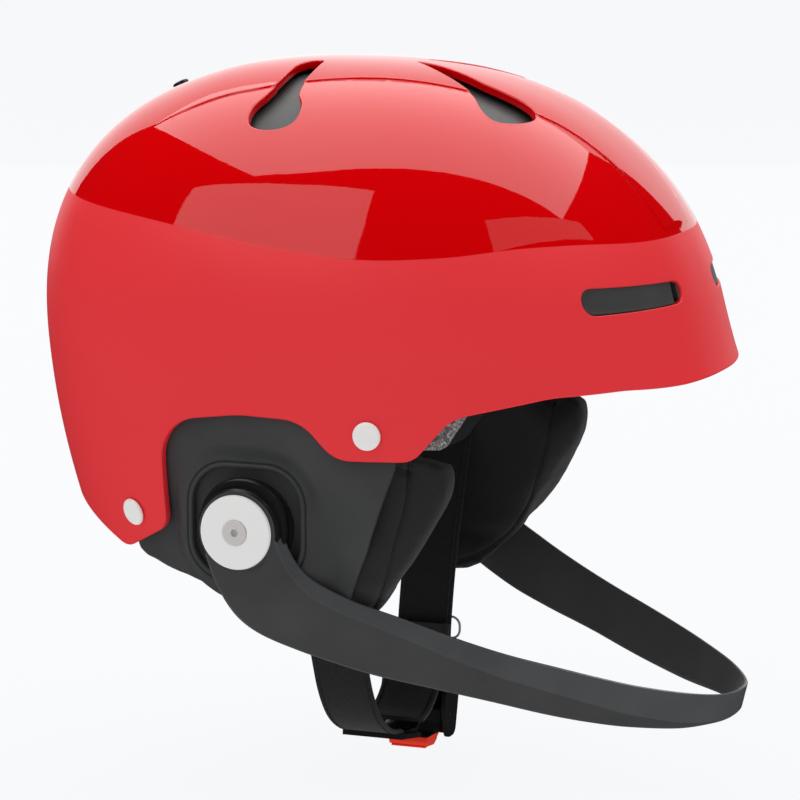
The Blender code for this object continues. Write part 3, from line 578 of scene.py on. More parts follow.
def dome_hollow(name, outer, inner, cuts, inner_cuts):
    """A hollow layer of the dome, closed all round."""
    inside = dome_mesh("inside", inner, inner_cuts)
    inside.data.flip_normals()
    return joined(name, [dome_mesh(name, outer, cuts), inside])


def dome_patch(name, outer, inner, outline, cuts):
    """The part of a layer of the dome inside an outline in plan."""
    patch = dome_hollow(name, outer, inner, cuts, cuts)
    return combine(patch, prism(outline, PATCH_LOW_Z, CUT_REACH, "Z"), "INTERSECT")


def add_materials(item, materials):
    for material in materials:
        item.data.materials.append(material)


def finish_piece(item, name, body, slot, material, *nodes):
    """Names a finished piece, gives it its material and hangs it on its body."""
    item.name = name
    item.data.name = name
    if material is not None:
        item.data.materials.clear()
        item.data.materials.append(material)
    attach(item, body)
    if nodes:
        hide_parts(*nodes)
    return item


# Materials


def feed(tree, socket, value):
    """Links another node's output to a socket, or sets a plain value there."""
    if isinstance(value, bpy.types.NodeSocket):
        tree.links.new(value, socket)
    else:
        socket.default_value = value


def node(tree, kind, inputs=None, **settings):
    made = tree.nodes.new(kind)
    for name, value in settings.items():
        setattr(made, name, value)
    for key, value in (inputs or {}).items():
        feed(tree, made.inputs[key], value)
    return made


def maths(tree, operation, first, second=0.0, third=0.0):
    made = node(tree, "ShaderNodeMath", {0: first, 1: second, 2: third}, operation=operation)
    return made.outputs[0]


def vector_maths(tree, operation, *values, output=0):
    made = node(tree, "ShaderNodeVectorMath", dict(enumerate(values)), operation=operation)
    return made.outputs[output]


def mix_colour(tree, share, first, second):
    made = node(tree, "ShaderNodeMix", data_type="RGBA")
    for index, value in ((0, share), (6, first), (7, second)):
        feed(tree, made.inputs[index], value)
    return made.outputs[2]


def spread(tree, value, low, high, start=0.0, end=1.0):
    """Maps a value from one range to another, clamped."""
    made = node(tree, "ShaderNodeMapRange", {0: value, 1: start, 2: end, 3: low, 4: high})
    return made.outputs[0]


def object_place(tree):
    return node(tree, "ShaderNodeTexCoord").outputs["Object"]


def noise(tree, scale, detail=3.0, place=None, roughness=0.5):
    place = place or object_place(tree)
    values = {"Vector": place, "Scale": scale, "Detail": detail, "Roughness": roughness}
    return node(tree, "ShaderNodeTexNoise", values).outputs["Fac"]


def bump(tree, height, strength, distance, normal=None):
    values = {"Height": height, "Strength": strength, "Distance": distance}
    if normal is not None:
        values["Normal"] = normal
    return node(tree, "ShaderNodeBump", values).outputs["Normal"]


def new_material(name, **sockets):
    """A Principled material, with the values that are the same all over."""
    material = bpy.data.materials.new(name)
    material.use_nodes = True
    shader = material.node_tree.nodes["Principled BSDF"]
    for key, value in sockets.items():
        shader.inputs[key.replace("_", " ")].default_value = value
    return material, material.node_tree, shader.inputs


def rgb(red, green, blue):
    return (red, green, blue, 1.0)


def red_paint():
    """Clear gloss above the paint line, fine matt below it."""
    material, tree, shader = new_material("red_paint", IOR=1.5)
    place = object_place(tree)
    axes = node(tree, "ShaderNodeSeparateXYZ", {0: place}).outputs
    low_x, high_x = PAINT_LINE[0][0] * MM, PAINT_LINE[-1][0] * MM
    low_z, high_z = PAINT_RANGE_Z
    curve = node(tree, "ShaderNodeFloatCurve", {"Value": spread(tree, axes["X"], 0.0, 1.0, low_x, high_x)})
    points = curve.mapping.curves[0].points
    while len(points) < len(PAINT_LINE):
        points.new(0.5, 0.5)
    for point, (x, z) in zip(points, PAINT_LINE):
        point.location = ((x * MM - low_x) / (high_x - low_x), (z * MM - low_z) / (high_z - low_z))
    curve.mapping.update()
    line = spread(tree, curve.outputs[0], low_z, high_z)
    above = maths(tree, "SUBTRACT", axes["Z"], line)
    gloss = spread(tree, above, 0.0, 1.0, -PAINT_EDGE, PAINT_EDGE)
    cloud = noise(tree, 9.0, 2.0, place)
    grain = noise(tree, 2600.0, 2.0, place)
    matt = mix_colour(tree, cloud, rgb(0.86, 0.020, 0.029), rgb(0.90, 0.024, 0.033))
    shine = mix_colour(tree, cloud, rgb(0.65, 0.0, 0.001), rgb(0.69, 0.0, 0.002))
    tree.links.new(mix_colour(tree, gloss, matt, shine), shader["Base Color"])
    fine = spread(tree, grain, 0.40, 0.47, 0.3, 0.7)
    clear = spread(tree, noise(tree, 60.0, 2.0, place), 0.022, 0.040, 0.3, 0.7)
    rough = node(tree, "ShaderNodeMix", {0: gloss, 2: fine, 3: clear}).outputs[0]
    tree.links.new(rough, shader["Roughness"])
    peel = bump(tree, noise(tree, 240.0, 1.0, place), 0.02, 0.0004)
    rougher = spread(tree, gloss, 0.12, 0.0)
    tree.links.new(bump(tree, grain, rougher, 0.0001, peel), shader["Normal"])
    return material


# The outer shell


def vent_outline(vent, side, steps=8):
    places = [(x * MM, y * MM * side) for x, y in vent]
    return smooth_through(places, steps, closed=True)


def tapered(outline):
    """Brings the upper edge of a slot's outline down towards the front."""
    share = (outline[:, 0] / SLOT_HALF_LENGTH + 1) / 2
    taper = np.where(outline[:, 1] > 0, 1 - SLOT_TAPER * share, 1.0)
    return outline * np.column_stack([np.ones(len(taper)), taper])


def slot_outline(grow=0.0):
    """A brow slot in its own plane: rounded ends, and an upper edge that comes down towards the front."""
    height = SLOT_HALF_HEIGHT + grow
    return tapered(rounded_box(0.0, 0.0, SLOT_HALF_LENGTH + grow, height, height * 0.98))


def slot_place(flat, depths, side):
    """Points of a brow slot, from its own length and height and how far out they are."""
    depths = np.broadcast_to(depths, len(flat))
    points = SLOT_CENTRE + np.outer(flat[:, 0], SLOT_ALONG) + np.outer(flat[:, 1], (0, 0, 1))
    return (points + np.outer(depths, SLOT_OUT)) * (1, side, 1)


def slot_on_skin(flat):
    """Where a left slot's outline meets the dome."""
    inside = slot_place(flat, -SLOT_CUT, 1)
    return cast(inside, np.broadcast_to(SLOT_OUT, inside.shape), 0.0)


def slot_block(side, outline, inner, outer):
    item = prism(outline, inner, outer, "Y")
    own = coordinates(item)
    set_coordinates(item, slot_place(own[:, [0, 2]], own[:, 1], side))
    return face_out(item)


def track_outline(grow=0.0):
    middle = (TRACK_FRONT_X + TRACK_REAR_X) / 2
    half = (TRACK_FRONT_X - TRACK_REAR_X) / 2 + grow
    width = TRACK_HALF_WIDTH + grow
    return rounded_box(middle, 0.0, half, width, width * 0.98)


def rim_prism(rim, growth=0.0):
    outline = rounded([*rim, (rim[-1][0], -CUT_REACH, 0.0), (rim[0][0], -CUT_REACH, 0.0)], 8)
    return prism(outline + np.array((0.0, growth)), -CUT_REACH, CUT_REACH, "Y")


def crown_cutters(growth):
    made = []
    for _, side in SIDES:
        for vent in VENTS:
            outline = grown(vent_outline(vent, side, 4), growth)
            made.append(prism(outline, VENT_LOW_Z, CUT_REACH, "Z"))
        made.append(slot_block(side, slot_outline(growth), -SLOT_CUT, SLOT_CUT))
    made.append(prism(track_outline(growth), VENT_LOW_Z, CUT_REACH, "Z"))
    return joined("cutters", made)


def rim_line():
    """The shell's rim as one closed line on the dome, from the front round by the left.

    Its side view gives the flanks. Near the middle, where x hardly changes, its x is worked out from y.
    """
    outline = evenly(rounded(SHELL_RIM, 12), 0.0004)
    outline = outline[np.argsort(-outline[:, 0], kind="stable")]
    ends = []
    for sign in (1, -1):
        y = np.linspace(0.0, RIM_MEET_Y, 34)
        x = np.full(len(y), HALF_LENGTH * sign)
        for _ in range(40):
            z = np.interp(x, outline[::-1, 0], outline[::-1, 1])
            length, width, middle = dome_plan(z, 0.0)
            length = length + brim_reach(x, z, middle)
            x = middle + sign * length * (1 - (y / width) ** PLAN_POWER) ** (1 / PLAN_POWER)
        ends.append(np.stack([x, y, z], axis=1))
    front, rear = ends
    flank = outline[(outline[:, 0] < front[-1, 0] - 0.001) & (outline[:, 0] > rear[-1, 0] + 0.001)]
    side = np.stack([flank[:, 0], dome_side(flank[:, 0], flank[:, 1], 0.0), flank[:, 1]], axis=1)
    left = evenly(np.vstack([front, side, rear[::-1]]), 0.0013)
    return np.vstack([left, left[-2:0:-1] * (1, -1, 1)])


def lip_profile(depth, radius, width):
    """Across a lip: how far in from the cut, how far out from the skin, and whether it follows the skin."""
    arc = []
    for turn in (22.5, 45.0, 67.5):
        angle = math.radians(turn)
        arc.append((radius * (1 - math.sin(angle)), radius * (math.cos(angle) - 1), False))
    wall = [(0.0, -radius, False), (0.0, -depth * 0.6, False), (0.1 * MM, -depth, False)]
    back = [(width, -depth, False), (width, -radius, False)]
    return [(width, 0.0, True), (width * 0.7, 0.0, True), (radius, 0.0, True), *arc, *wall, *back]


def lip(points, away, depth, radius, width=LIP_WIDTH):
    """A rounded edge round a cut in the skin. away holds a direction from the cut for each point."""
    out = dome_normals(points)
    into = unit(np.cross(out, headings(points, closed=True)))
    into *= np.sign((into * away).sum(axis=1, keepdims=True))
    columns = []
    for inward, outward, on_skin in lip_profile(depth, radius, width):
        column = points + into * inward
        column = to_skin(column) + out * 0.012 * MM if on_skin else column + out * outward
        columns.append(column)
    return face_out(mesh_object("lip", *sweep(np.stack(columns, axis=1))))


def crown_lip(outline, depth, radius, width=LIP_WIDTH):
    """The lip round an opening in the crown, from the opening's outline in plan."""
    flat = evenly(outline, LIP_SPACING, closed=True)
    top = to_skin(top_of_dome(flat[:, 0], flat[:, 1]))
    away = np.column_stack([grown(flat, 1.0) - flat, np.zeros(len(flat))])
    return lip(top, away, depth, radius, width)


def shell_lips():
    rim = rim_line()
    up = np.tile((0.0, 0.0, 1.0), (len(rim), 1))
    made = [lip(rim, up, SHELL_WALL, 0.9 * MM, 1.8 * MM)]
    for _, side in SIDES:
        for vent in VENTS:
            made.append(crown_lip(vent_outline(vent, side), 2.9 * MM, 0.8 * MM, 1.6 * MM))
        flat = evenly(slot_outline(), LIP_SPACING, closed=True)
        away = slot_place(grown(flat, 1.0), 0.0, side) - slot_place(flat, 0.0, side)
        made.append(lip(slot_on_skin(flat) * (1, side, 1), away, 1.8 * MM, 0.4 * MM))
    made.append(crown_lip(track_outline(), SHELL_WALL, 0.6 * MM))
    return made


def slab(name, top, low, rows, columns):
    """A closed sheet between two grids of as many rows and columns of points."""
    count = rows * columns
    faces = []
    for row in range(rows - 1):
        for column in range(columns - 1):
            a = row * columns + column
            quad = (a, a + 1, a + 1 + columns, a + columns)
            faces += [quad, tuple(index + count for index in reversed(quad))]
    edge = [*range(columns), *[row * columns + columns - 1 for row in range(1, rows)]]
    edge += [(rows - 1) * columns + column for column in range(columns - 2, -1, -1)]
    edge += [row * columns for row in range(rows - 2, 0, -1)]
    for a, b in zip(edge, edge[1:] + edge[:1]):
        faces.append((b, a, a + count, b + count))
    return face_out(mesh_object(name, np.vstack([top, low]), faces))


def raised_band():
    """The band over the crown, as a thin slab that sinks into the shell along its edges."""
    coarse = np.arange(BAND_REAR_END_X, BAND_FINE_X, BAND_COARSE_STEP)
    fine = np.arange(BAND_FINE_X, BAND_FRONT_END_X, BAND_FINE_STEP)
    steps = np.array(BAND_EDGE_STEPS) * MM
    rows = []
    for x in np.concatenate([coarse, fine]):
        half = np.interp(x, BAND_LINE[:, 0], BAND_LINE[:, 1])
        inner = np.linspace(half - steps[-1], 0.0, 16)[1:]
        y = np.concatenate([half - steps, inner, -inner[-2::-1], steps[::-1] - half])
        rows.append(np.stack([np.full(len(y), x), y], axis=1))
    flat = np.array(rows)
    rows, columns = flat.shape[:2]
    flat = flat.reshape(-1, 2)
    base = top_of_dome(flat[:, 0], flat[:, 1])
    out = dome_normals(base)
    rise = band_rise(base)
    rise = rise - BAND_DIP * (1 - rise / BAND_HEIGHT)
    rise = rise.reshape(rows, columns)
    rise[:, [0, -1]] = -BAND_SUNK
    rise[[0, -1]] = -BAND_SUNK
    return slab("band", base + out * rise.reshape(-1, 1), base - out * BAND_DEPTH, rows, columns)


def make_shell():
    shell = dome_hollow("shell", 0.0, SHELL_WALL, 64, 30)
    combine(shell, rim_prism(SHELL_RIM, CUT_GROWTH))
    combine(shell, crown_cutters(CUT_GROWTH))
    band = combine(raised_band(), crown_cutters(CUT_GROWTH))
    shell = joined("shell", [shell, band, *shell_lips()])
    shade_as(shell, ((layer(SHELL_WALL), -1), (layer(0.0), 1), (to_skin, 1)))
    finish_piece(shell, "shell", "helmet", "red_lacquer", red_paint(), "outer_shell")


# The lining and the vents


# The left half of the shutter's plan, a spine with a front and a rear wing: x, y and corner radius.
SHUTTER_HALF = (
    (0.078, 0.0, 0.0),
    (0.078, 0.049, 0.008),
    (0.006, 0.049, 0.004),
    (0.000, 0.080, 0.008),
    (-0.034, 0.080, 0.008),
    (-0.036, 0.009, 0.006),
    (-0.092, 0.009, 0.006),
)
SHUTTER_MIDDLE_X = -0.010

# The liner's channels, down from the vents and in from the slots.
CHANNEL_LOW_Z = 0.05
CHANNEL_GROWTH = 0.0025
CHANNEL_DEPTH = 0.009


def shutter_outline(grow, back):
    """The shutter's plan, grown all round, and further towards the rear."""
    corners = []
    for x, y, radius in SHUTTER_HALF:
        out = math.copysign(grow, x - SHUTTER_MIDDLE_X)
        reach = out - back if out < 0 else out
        corners.append((x + reach, y + grow if y else 0.0, radius))
    mirrored = [(x, -y, radius) for x, y, radius in reversed(corners) if y]
    return rounded(corners[1:] + mirrored)


def make_liner():
    liner = dome_hollow("liner", LINER_OUTER, LINER_INNER, 40, 36)
    combine(liner, rim_prism(LINER_RIM))
    pocket = shutter_outline(0.002, SHUTTER_TRAVEL)
    combine(liner, dome_patch("pocket", 0.0, SHUTTER_POCKET, pocket, 20))
    channels = []
    for _, side in SIDES:
        for vent in VENTS:
            channels.append(prism(vent_outline(vent, side, 4), CHANNEL_LOW_Z, CUT_REACH, "Z"))
        channels.append(slot_block(side, slot_outline(CHANNEL_GROWTH), -CHANNEL_DEPTH, SLOT_CUT))
    combine(liner, joined("channels", channels))
    shade_as(liner, ((layer(LINER_OUTER), 1), (layer(LINER_INNER), -1)))
    finish_piece(liner, "liner", "helmet", "foam", bead_foam(), "impact_liner")


def make_shutter():
    depths = (SHUTTER_OUTER, SHUTTER_INNER)
    shutter = dome_patch("shutter", *depths, shutter_outline(0.0, 0.0), 40)
    points = coordinates(shutter)
    lifted = points.copy()
    for depth in depths:
        on = np.linalg.norm(to_dome(points, depth) - points, axis=1) < 0.05 * MM
        lifted[on] = to_dome(points[on], depth - SHUTTER_LIFT)
    set_coordinates(shutter, lifted)
    upper, lower = (layer(depth - SHUTTER_LIFT) for depth in depths)
    shade_as(shutter, ((lower, -1), (upper, 1)))
    material = moulded("shutter_plastic", rgb(0.029, 0.033, 0.032), 0.45, 0.05)
    finish_piece(shutter, "shutter", "vent_shutter_set", "dark_plastic", material, "vent_shutter")


# A slot's insert, from its back round to its floor: millimetres in from the slot's outline and out from the
# skin. Rings in front of INSERT_BACK lie shallower along the slot's middle.
INSERT_RINGS = (
    (0.12, -4.6), (0.12, -1.4), (0.3, -1.25), (0.6, -1.3), (1.0, -1.5), (1.6, -1.6), (3.0, -1.65),
    (4.0, -1.65), (4.85, -1.65),
)
INSERT_BACK = -4.0
SLOT_PAIRS = 40
INSERT_SHALLOW = 0.5
INSERT_SLIT_X = 0.0243
INSERT_SLIT_HALF = 0.0021


def slot_ring():
    """A slot's outline in points that pair up above and below its middle line."""
    turns = full_turn(2 * SLOT_PAIRS)
    x = SLOT_HALF_LENGTH * np.cos(turns)
    past = np.clip((np.abs(x) - SLOT_HALF_LENGTH + SLOT_HALF_HEIGHT) / SLOT_HALF_HEIGHT, 0.0, 1.0)
    y = SLOT_HALF_HEIGHT * np.sqrt(1 - past**2) * np.sign(np.sin(turns))
    return tapered(np.column_stack([x, y]))


def paired_cap(start):
    """Faces across a slot's ring, between the points that pair up."""
    last = 2 * SLOT_PAIRS
    faces = [(start, start + 1, start + last - 1)]
    for i in range(1, SLOT_PAIRS - 1):
        faces.append((start + i, start + i + 1, start + last - i - 1, start + last - i))
    faces.append((start + SLOT_PAIRS - 1, start + SLOT_PAIRS, start + SLOT_PAIRS + 1))
    return faces


def make_slot_inserts(material):
    """The dark inserts in the brow slots: a recessed floor, and an open slit near the front end."""
    outline = slot_ring()
    for name, side in SIDES:
        rings = []
        for inset, depth in INSERT_RINGS:
            flat = outline * (1 - inset * MM / SLOT_HALF_LENGTH, 1 - inset * MM / SLOT_HALF_HEIGHT)
            ends = np.minimum(np.abs(flat[:, 0]) / SLOT_HALF_LENGTH, 1.0) ** 2
            share = INSERT_SHALLOW + (1 - INSERT_SHALLOW) * ends
            depths = depth * MM * (share if depth > INSERT_BACK else np.ones(len(flat)))
            rings.append((slot_on_skin(flat) + np.outer(depths, SLOT_OUT)) * (1, side, 1))
        points, faces = sweep(np.array(rings), False)
        faces += paired_cap(0) + paired_cap(len(points) - 2 * SLOT_PAIRS)
        item = face_out(mesh_object("insert", points, faces))
        size = (INSERT_SLIT_HALF, 2 * SLOT_HALF_HEIGHT, 0.9 * INSERT_SLIT_HALF)
        slit = rounded_box(INSERT_SLIT_X, 0.0, *size, 3)
        combine(item, slot_block(side, slit, -SLOT_CUT, SLOT_CUT))
        sharpen(item, 50.0)
        finish_piece(item, f"slot_frame_{name}", "helmet", "dark_plastic", material, f"vent_insert_{name}")


BEAD_SCALE = 900.0

# Below this height and inside this distance from the middle, the foam is painted near black: painted shade
# beside the face.
PAINTED_SHADE_Y = 0.0985
PAINTED_SHADE_Z = 0.0235
PAINTED_SHADE_EDGE = 0.0004


def bead_foam():
    """Moulded bead foam: pale and dark grey beads, each a little raised, painted near black beside the face
    as painted shade.
    """
    material, tree, shader = new_material("bead_foam", Roughness=0.9)
    place = object_place(tree)
    values = {"Vector": place, "Scale": BEAD_SCALE}
    cells = node(tree, "ShaderNodeTexVoronoi", values).outputs
    edges = node(tree, "ShaderNodeTexVoronoi", values, feature="DISTANCE_TO_EDGE")
    tint = node(tree, "ShaderNodeSeparateColor", {0: cells["Color"]}).outputs[0]
    bead = mix_colour(tree, tint, rgb(0.10, 0.10, 0.10), rgb(0.42, 0.42, 0.41))
    line = spread(tree, edges.outputs["Distance"], 0.0, 1.0, 0.0, 0.12)
    beads = mix_colour(tree, line, rgb(0.05, 0.05, 0.05), bead)
    axes = node(tree, "ShaderNodeSeparateXYZ", {0: place}).outputs
    # Painted shade: low down and near the middle, beside the face, the foam's colour turns near black.
    outer = spread(tree, maths(tree, "ABSOLUTE", axes["Y"]), 0.0, 1.0, PAINTED_SHADE_Y, PAINTED_SHADE_Y + PAINTED_SHADE_EDGE)
    upper = spread(tree, axes["Z"], 0.0, 1.0, PAINTED_SHADE_Z, PAINTED_SHADE_Z + PAINTED_SHADE_EDGE)
    outside_painted_shade = maths(tree, "MAXIMUM", outer, upper)
    tree.links.new(mix_colour(tree, outside_painted_shade, rgb(0.012, 0.012, 0.012), beads), shader["Base Color"])
    tree.links.new(bump(tree, line, 0.5, 0.0004), shader["Normal"])
    return material


def moulded(name, colour, roughness, grain=0.1, scale=1500.0, specular=0.5):
    """Moulded plastic: an even colour with a faint cloud and a fine grain."""
    material, tree, shader = new_material(name, Specular_IOR_Level=specular)
    place = object_place(tree)
    darker = rgb(*[value * 0.86 for value in colour[:3]])
    lighter = rgb(*[min(value * 1.12, 1.0) for value in colour[:3]])
    cloud = spread(tree, noise(tree, 35.0, 3.0, place), 0.0, 1.0, 0.3, 0.7)
    tree.links.new(mix_colour(tree, cloud, darker, lighter), shader["Base Color"])
    fine = noise(tree, scale, 2.0, place)
    rough = spread(tree, fine, roughness * 0.88, roughness * 1.12, 0.3, 0.7)
    tree.links.new(rough, shader["Roughness"])
    tree.links.new(bump(tree, fine, grain, 0.0002), shader["Normal"])
    return material


def metal(name, colour, roughness, centre=None, metallic=0.35):
    """Satin metal, turned in fine rings where it has a centre."""
    material, tree, shader = new_material(name, Metallic=metallic)
    place = object_place(tree)
    if centre is None:
        grain = noise(tree, 1200.0, 3.0, place)
    else:
        offset = vector_maths(tree, "SUBTRACT", place, centre)
        flat = vector_maths(tree, "MULTIPLY", offset, (1.0, 0.0, 1.0))
        radius = vector_maths(tree, "LENGTH", flat, output="Value")
        ring = node(tree, "ShaderNodeCombineXYZ", {0: radius}).outputs[0]
        grain = noise(tree, 5200.0, 4.0, ring, 0.7)
    low = rgb(*[value * 0.93 for value in colour[:3]])
    tree.links.new(mix_colour(tree, grain, low, colour), shader["Base Color"])
    tree.links.new(spread(tree, grain, roughness * 0.8, roughness * 1.25, 0.3, 0.7), shader["Roughness"])
    tree.links.new(bump(tree, grain, 0.12, 0.0001), shader["Normal"])
    return material


def pad_cloth():
    """Fine brushed knit: small loops in two directions, under a soft nap."""
    material, tree, shader = new_material(
        "pad_cloth", Roughness=0.95, Sheen_Weight=0.10, Sheen_Roughness=0.5, Specular_IOR_Level=0.25
    )
    place = object_place(tree)
    loops = node(tree, "ShaderNodeTexVoronoi", {"Vector": place, "Scale": 1500.0}).outputs["Distance"]
    nap = noise(tree, 420.0, 4.0, place, 0.65)
    broad = spread(tree, noise(tree, 28.0, 3.0, place), 0.0, 1.0, 0.3, 0.7)
    shade = mix_colour(tree, broad, rgb(0.017, 0.0167, 0.0165), rgb(0.026, 0.0255, 0.025))
    tree.links.new(shade, shader["Base Color"])
    soft = bump(tree, nap, 0.30, 0.0006)
    tree.links.new(bump(tree, loops, 0.45, 0.0003, soft), shader["Normal"])
    return material


def webbing():
    """Woven strap: close ribs across it and fine yarns along it, read from the strap's own lengths."""
    material, tree, shader = new_material(
        "webbing", Roughness=0.85, Sheen_Weight=0.08, Sheen_Roughness=0.5, Specular_IOR_Level=0.3
    )
    lengths = node(tree, "ShaderNodeUVMap", uv_map="lengths").outputs[0]
    axes = node(tree, "ShaderNodeSeparateXYZ", {0: lengths}).outputs
    across = maths(tree, "SINE", maths(tree, "MULTIPLY", axes["X"], math.tau / (0.9 * MM)))
    along = maths(tree, "SINE", maths(tree, "MULTIPLY", axes["Y"], math.tau / (1.3 * MM)))
    weave = maths(tree, "MULTIPLY_ADD", maths(tree, "MULTIPLY", across, along), 0.25, 0.5)
    fuzz = noise(tree, 900.0, 3.0)
    tone = spread(tree, maths(tree, "MULTIPLY", weave, maths(tree, "ADD", fuzz, 0.5)), 0.0, 1.0, 0.2, 0.9)
    shade = mix_colour(tree, tone, rgb(0.007, 0.007, 0.007), rgb(0.024, 0.024, 0.023))
    tree.links.new(shade, shader["Base Color"])
    tree.links.new(bump(tree, weave, 0.55, 0.0003), shader["Normal"])
    return material


# Turned and refined pieces

REFINED_ANGLE = 32.0

def turned(name, profile, sides=96):
    """A solid turned about Z from a closed profile of radius and height. Points on its axis become one."""
    rings = [[(r * math.cos(t), r * math.sin(t), h) for r, h in profile] for t in full_turn(sides)]
    item = mesh_object(name, *sweep(rings))
    with edited(item.data) as shape:
        bmesh.ops.remove_doubles(shape, verts=shape.verts, dist=1e-7)
    return face_out(item)


def aimed(item, place, direction):
    turn = Vector(direction).to_track_quat("Z", "Y").to_matrix().to_4x4()
    item.data.transform(Matrix.Translation(Vector(place)) @ turn)
    return item


def refined(node_name, bevel, segments=3):
    """A copy of a CAD solid with its flat faces whole and its edges rounded."""
    shape = bmesh.new()
    shape.from_mesh(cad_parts[node_name].data)
    bmesh.ops.remove_doubles(shape, verts=shape.verts, dist=2e-6)
    bmesh.ops.dissolve_limit(shape, angle_limit=math.radians(0.8), verts=shape.verts, edges=shape.edges)
    mesh = bpy.data.meshes.new("refined")
    shape.to_mesh(mesh)
    shape.free()
    item = new_object("refined", mesh)
    if bevel:
        bevelled(item, bevel, segments, REFINED_ANGLE)
    return weighted(sharpen(item, REFINED_ANGLE))


def tube(points, radius, sides=12, closed=False):
    """A round tube along a line."""
    points = np.asarray(points, float)
    ahead = headings(points, closed)
    turns = full_turn(sides)
    first = unit(np.cross(ahead[0], (0.31, 0.52, 0.79)))
    rings = []
    for point, direction in zip(points, ahead):
        first = unit(first - direction * (first @ direction))
        second = np.cross(direction, first)
        rings.append(point + radius * (np.outer(np.cos(turns), first) + np.outer(np.sin(turns), second)))
    return face_out(mesh_object("tube", *sweep(np.array(rings), closed, not closed)))


# A stitch's cross-sections: place along its half-length and share of its radius.
STITCH_RINGS = ((-1.0, 0.15), (-0.8, 0.75), (-0.3, 1.0), (0.3, 1.0), (0.8, 0.75), (1.0, 0.15))
STITCH_SIDES = 6


def stitches(line, out, spacing=2.6 * MM, length=1.7 * MM, radius=0.22 * MM):
    """A row of short threads lying on a surface along a line, with the surface's outward directions."""
    spaced = evenly(np.hstack([line, out]), spacing / 2)[::2]
    places = spaced[:, :3]
    out = unit(spaced[:, 3:])
    if len(places) < 2:
        return None
    ahead = headings(places)
    across = np.cross(out, ahead)
    turns = full_turn(STITCH_SIDES)
    points, faces = [], []
    for place, forward, over, side in zip(places, ahead, out, across):
        ring = np.outer(np.cos(turns), side) + np.outer(np.sin(turns), over)
        rings = []
        for row, size in STITCH_RINGS:
            centre = place + forward * row * length / 2 + over * radius * (0.55 - 0.5 * row * row)
            rings.append(centre + radius * size * ring)
        ring_points, ring_faces = sweep(np.array(rings), False, True)
        start = len(points) * len(ring_points)
        points.append(ring_points)
        faces += [tuple(index + start for index in face) for face in ring_faces]
    return face_out(mesh_object("stitches", np.vstack(points), faces))


# Rivets, ear covers and the pivot

RIVETS = (("front", 0.0369, 0.0118), ("rear", -0.0641, -0.0260))

# Radius and height, in millimetres.
RIVET_PROFILE = (
    (0.0, -4.5), (1.9, -4.5), (1.9, 0.3), (5.0, 0.3), (5.25, 0.55), (5.3, 0.9), (5.15, 1.3), (4.8, 1.65),
    (4.2, 1.85), (3.0, 1.95), (1.5, 2.0), (0.0, 2.0),
)
COVER_INSET = 0.0032
COVER_WALL = 0.0024
COVER_LEAN = 3.0
COVER_LOW_Z = -0.070
COVER_OUTLINE = (
    (0.0475, 0.0240, 0.004),
    (0.0455, -0.0010, 0.010),
    (0.0318, -0.0350, 0.030),
    (0.0210, -0.0560, 0.012),
    (0.006, -0.0740, 0.012),
    (-0.020, -0.0636, 0.030),
    (-0.071, -0.0416, 0.005),
    (-0.069, 0.0240, 0.004),
)
POCKET_FLOOR = 0.1014
POCKET_BACK = 0.0988
POCKET_HALF = (0.0240, 0.0230)
POCKET_RISE = 0.0018
POCKET_CORNER = 0.016
BORE_RADIUS = 0.0028
COVER_BORE = 0.0032
EYE_RADIUS = 0.0163
EYE_INNER = 0.1072
EYE_OUTER = 0.1136
SEAT_RADIUS = 0.0182
SEAT_TOP = 0.1042
RUBBER_RADIUS = 0.0168
RUBBER_FOOT = 0.1045
SCREW_FOOT = 0.0936
SCREW_RADIUS = 0.0024
SOCKET_RADIUS = 0.0016
SOCKET_DEPTH = 0.0016
GAP = 0.0003

# Over what distance the cover settles from the pocket's rim to its own surface, and how much more below.
RIM_SETTLES = 0.0075
RIM_SETTLES_LOWER = 0.009

# Round the cover's edge: distance in from its outline and down from its face, in millimetres.
COVER_EDGE = ((0.4, 0.1), (0.12, 0.35), (0.0, 0.9), (0.0, 2.0), (0.3, 2.4))

# Across the cover's back: shares of the way from the pocket out to the edge.
BACK_SHARES = (0.66, 0.33, 0.0)

# From the pocket's floor out over its double rim: distance from the pocket's outline and y, in millimetres.
POCKET_RINGS = (
    (-2.9, 101.4), (-2.6, 101.5), (-2.5, 102.2), (-2.45, 104.0), (-2.3, 104.5), (-2.0, 104.8),
    (-1.3, 104.9), (-0.85, 104.7), (-0.6, 104.2), (-0.4, 103.7), (-0.2, 103.75), (0.0, 104.15), (0.3, 104.35),
)


def button(name, profile, place):
    """A turned piece that stands on the skin at a place, from its profile in millimetres."""
    item = turned(name, [(r * MM, h * MM) for r, h in profile], 64)
    aimed(item, place, dome_normals(place[None])[0])
    return sharpen(item, 40.0)


def make_rivets(material):
    for where, x, z in RIVETS:
        for name, side in SIDES:
            y = float(dome_side(np.array([x]), np.array([z]), 0.0)[0])
            rivet = button("rivet", RIVET_PROFILE, np.array((x, side * y, z)))
            node_name = f"{where}_rivet_{name}"
            finish_piece(rivet, f"rivet_{where}_{name}", "helmet", "steel", material, node_name)


def cover_surface(x, z):
    """The ear covers' y: the dome's side without its brim, leaning in further down."""
    lean = COVER_LEAN * np.minimum(z, 0.0) ** 2
    return dome_side(x, np.maximum(z, COVER_LOW_Z), COVER_INSET, brim=False) - lean


def flat_cross(first, second):
    return first[..., 0] * second[..., 1] - first[..., 1] * second[..., 0]


def reaches(outline, centre, turns):
    """How far a closed outline is from a centre inside it, in each direction."""
    start = (outline - centre)[None]
    edge = np.roll(start, -1, axis=1) - start
    rays = np.stack([np.cos(turns), np.sin(turns)], axis=1)[:, None]
    cross = flat_cross(rays, edge)
    cross = np.where(np.abs(cross) < 1e-15, 1e-15, cross)
    far = flat_cross(start, edge) / cross
    share = flat_cross(start, rays) / cross
    hit = (far > 0) & (share >= -1e-9) & (share <= 1 + 1e-9)
    return np.where(hit, far, 0.0).max(axis=1)


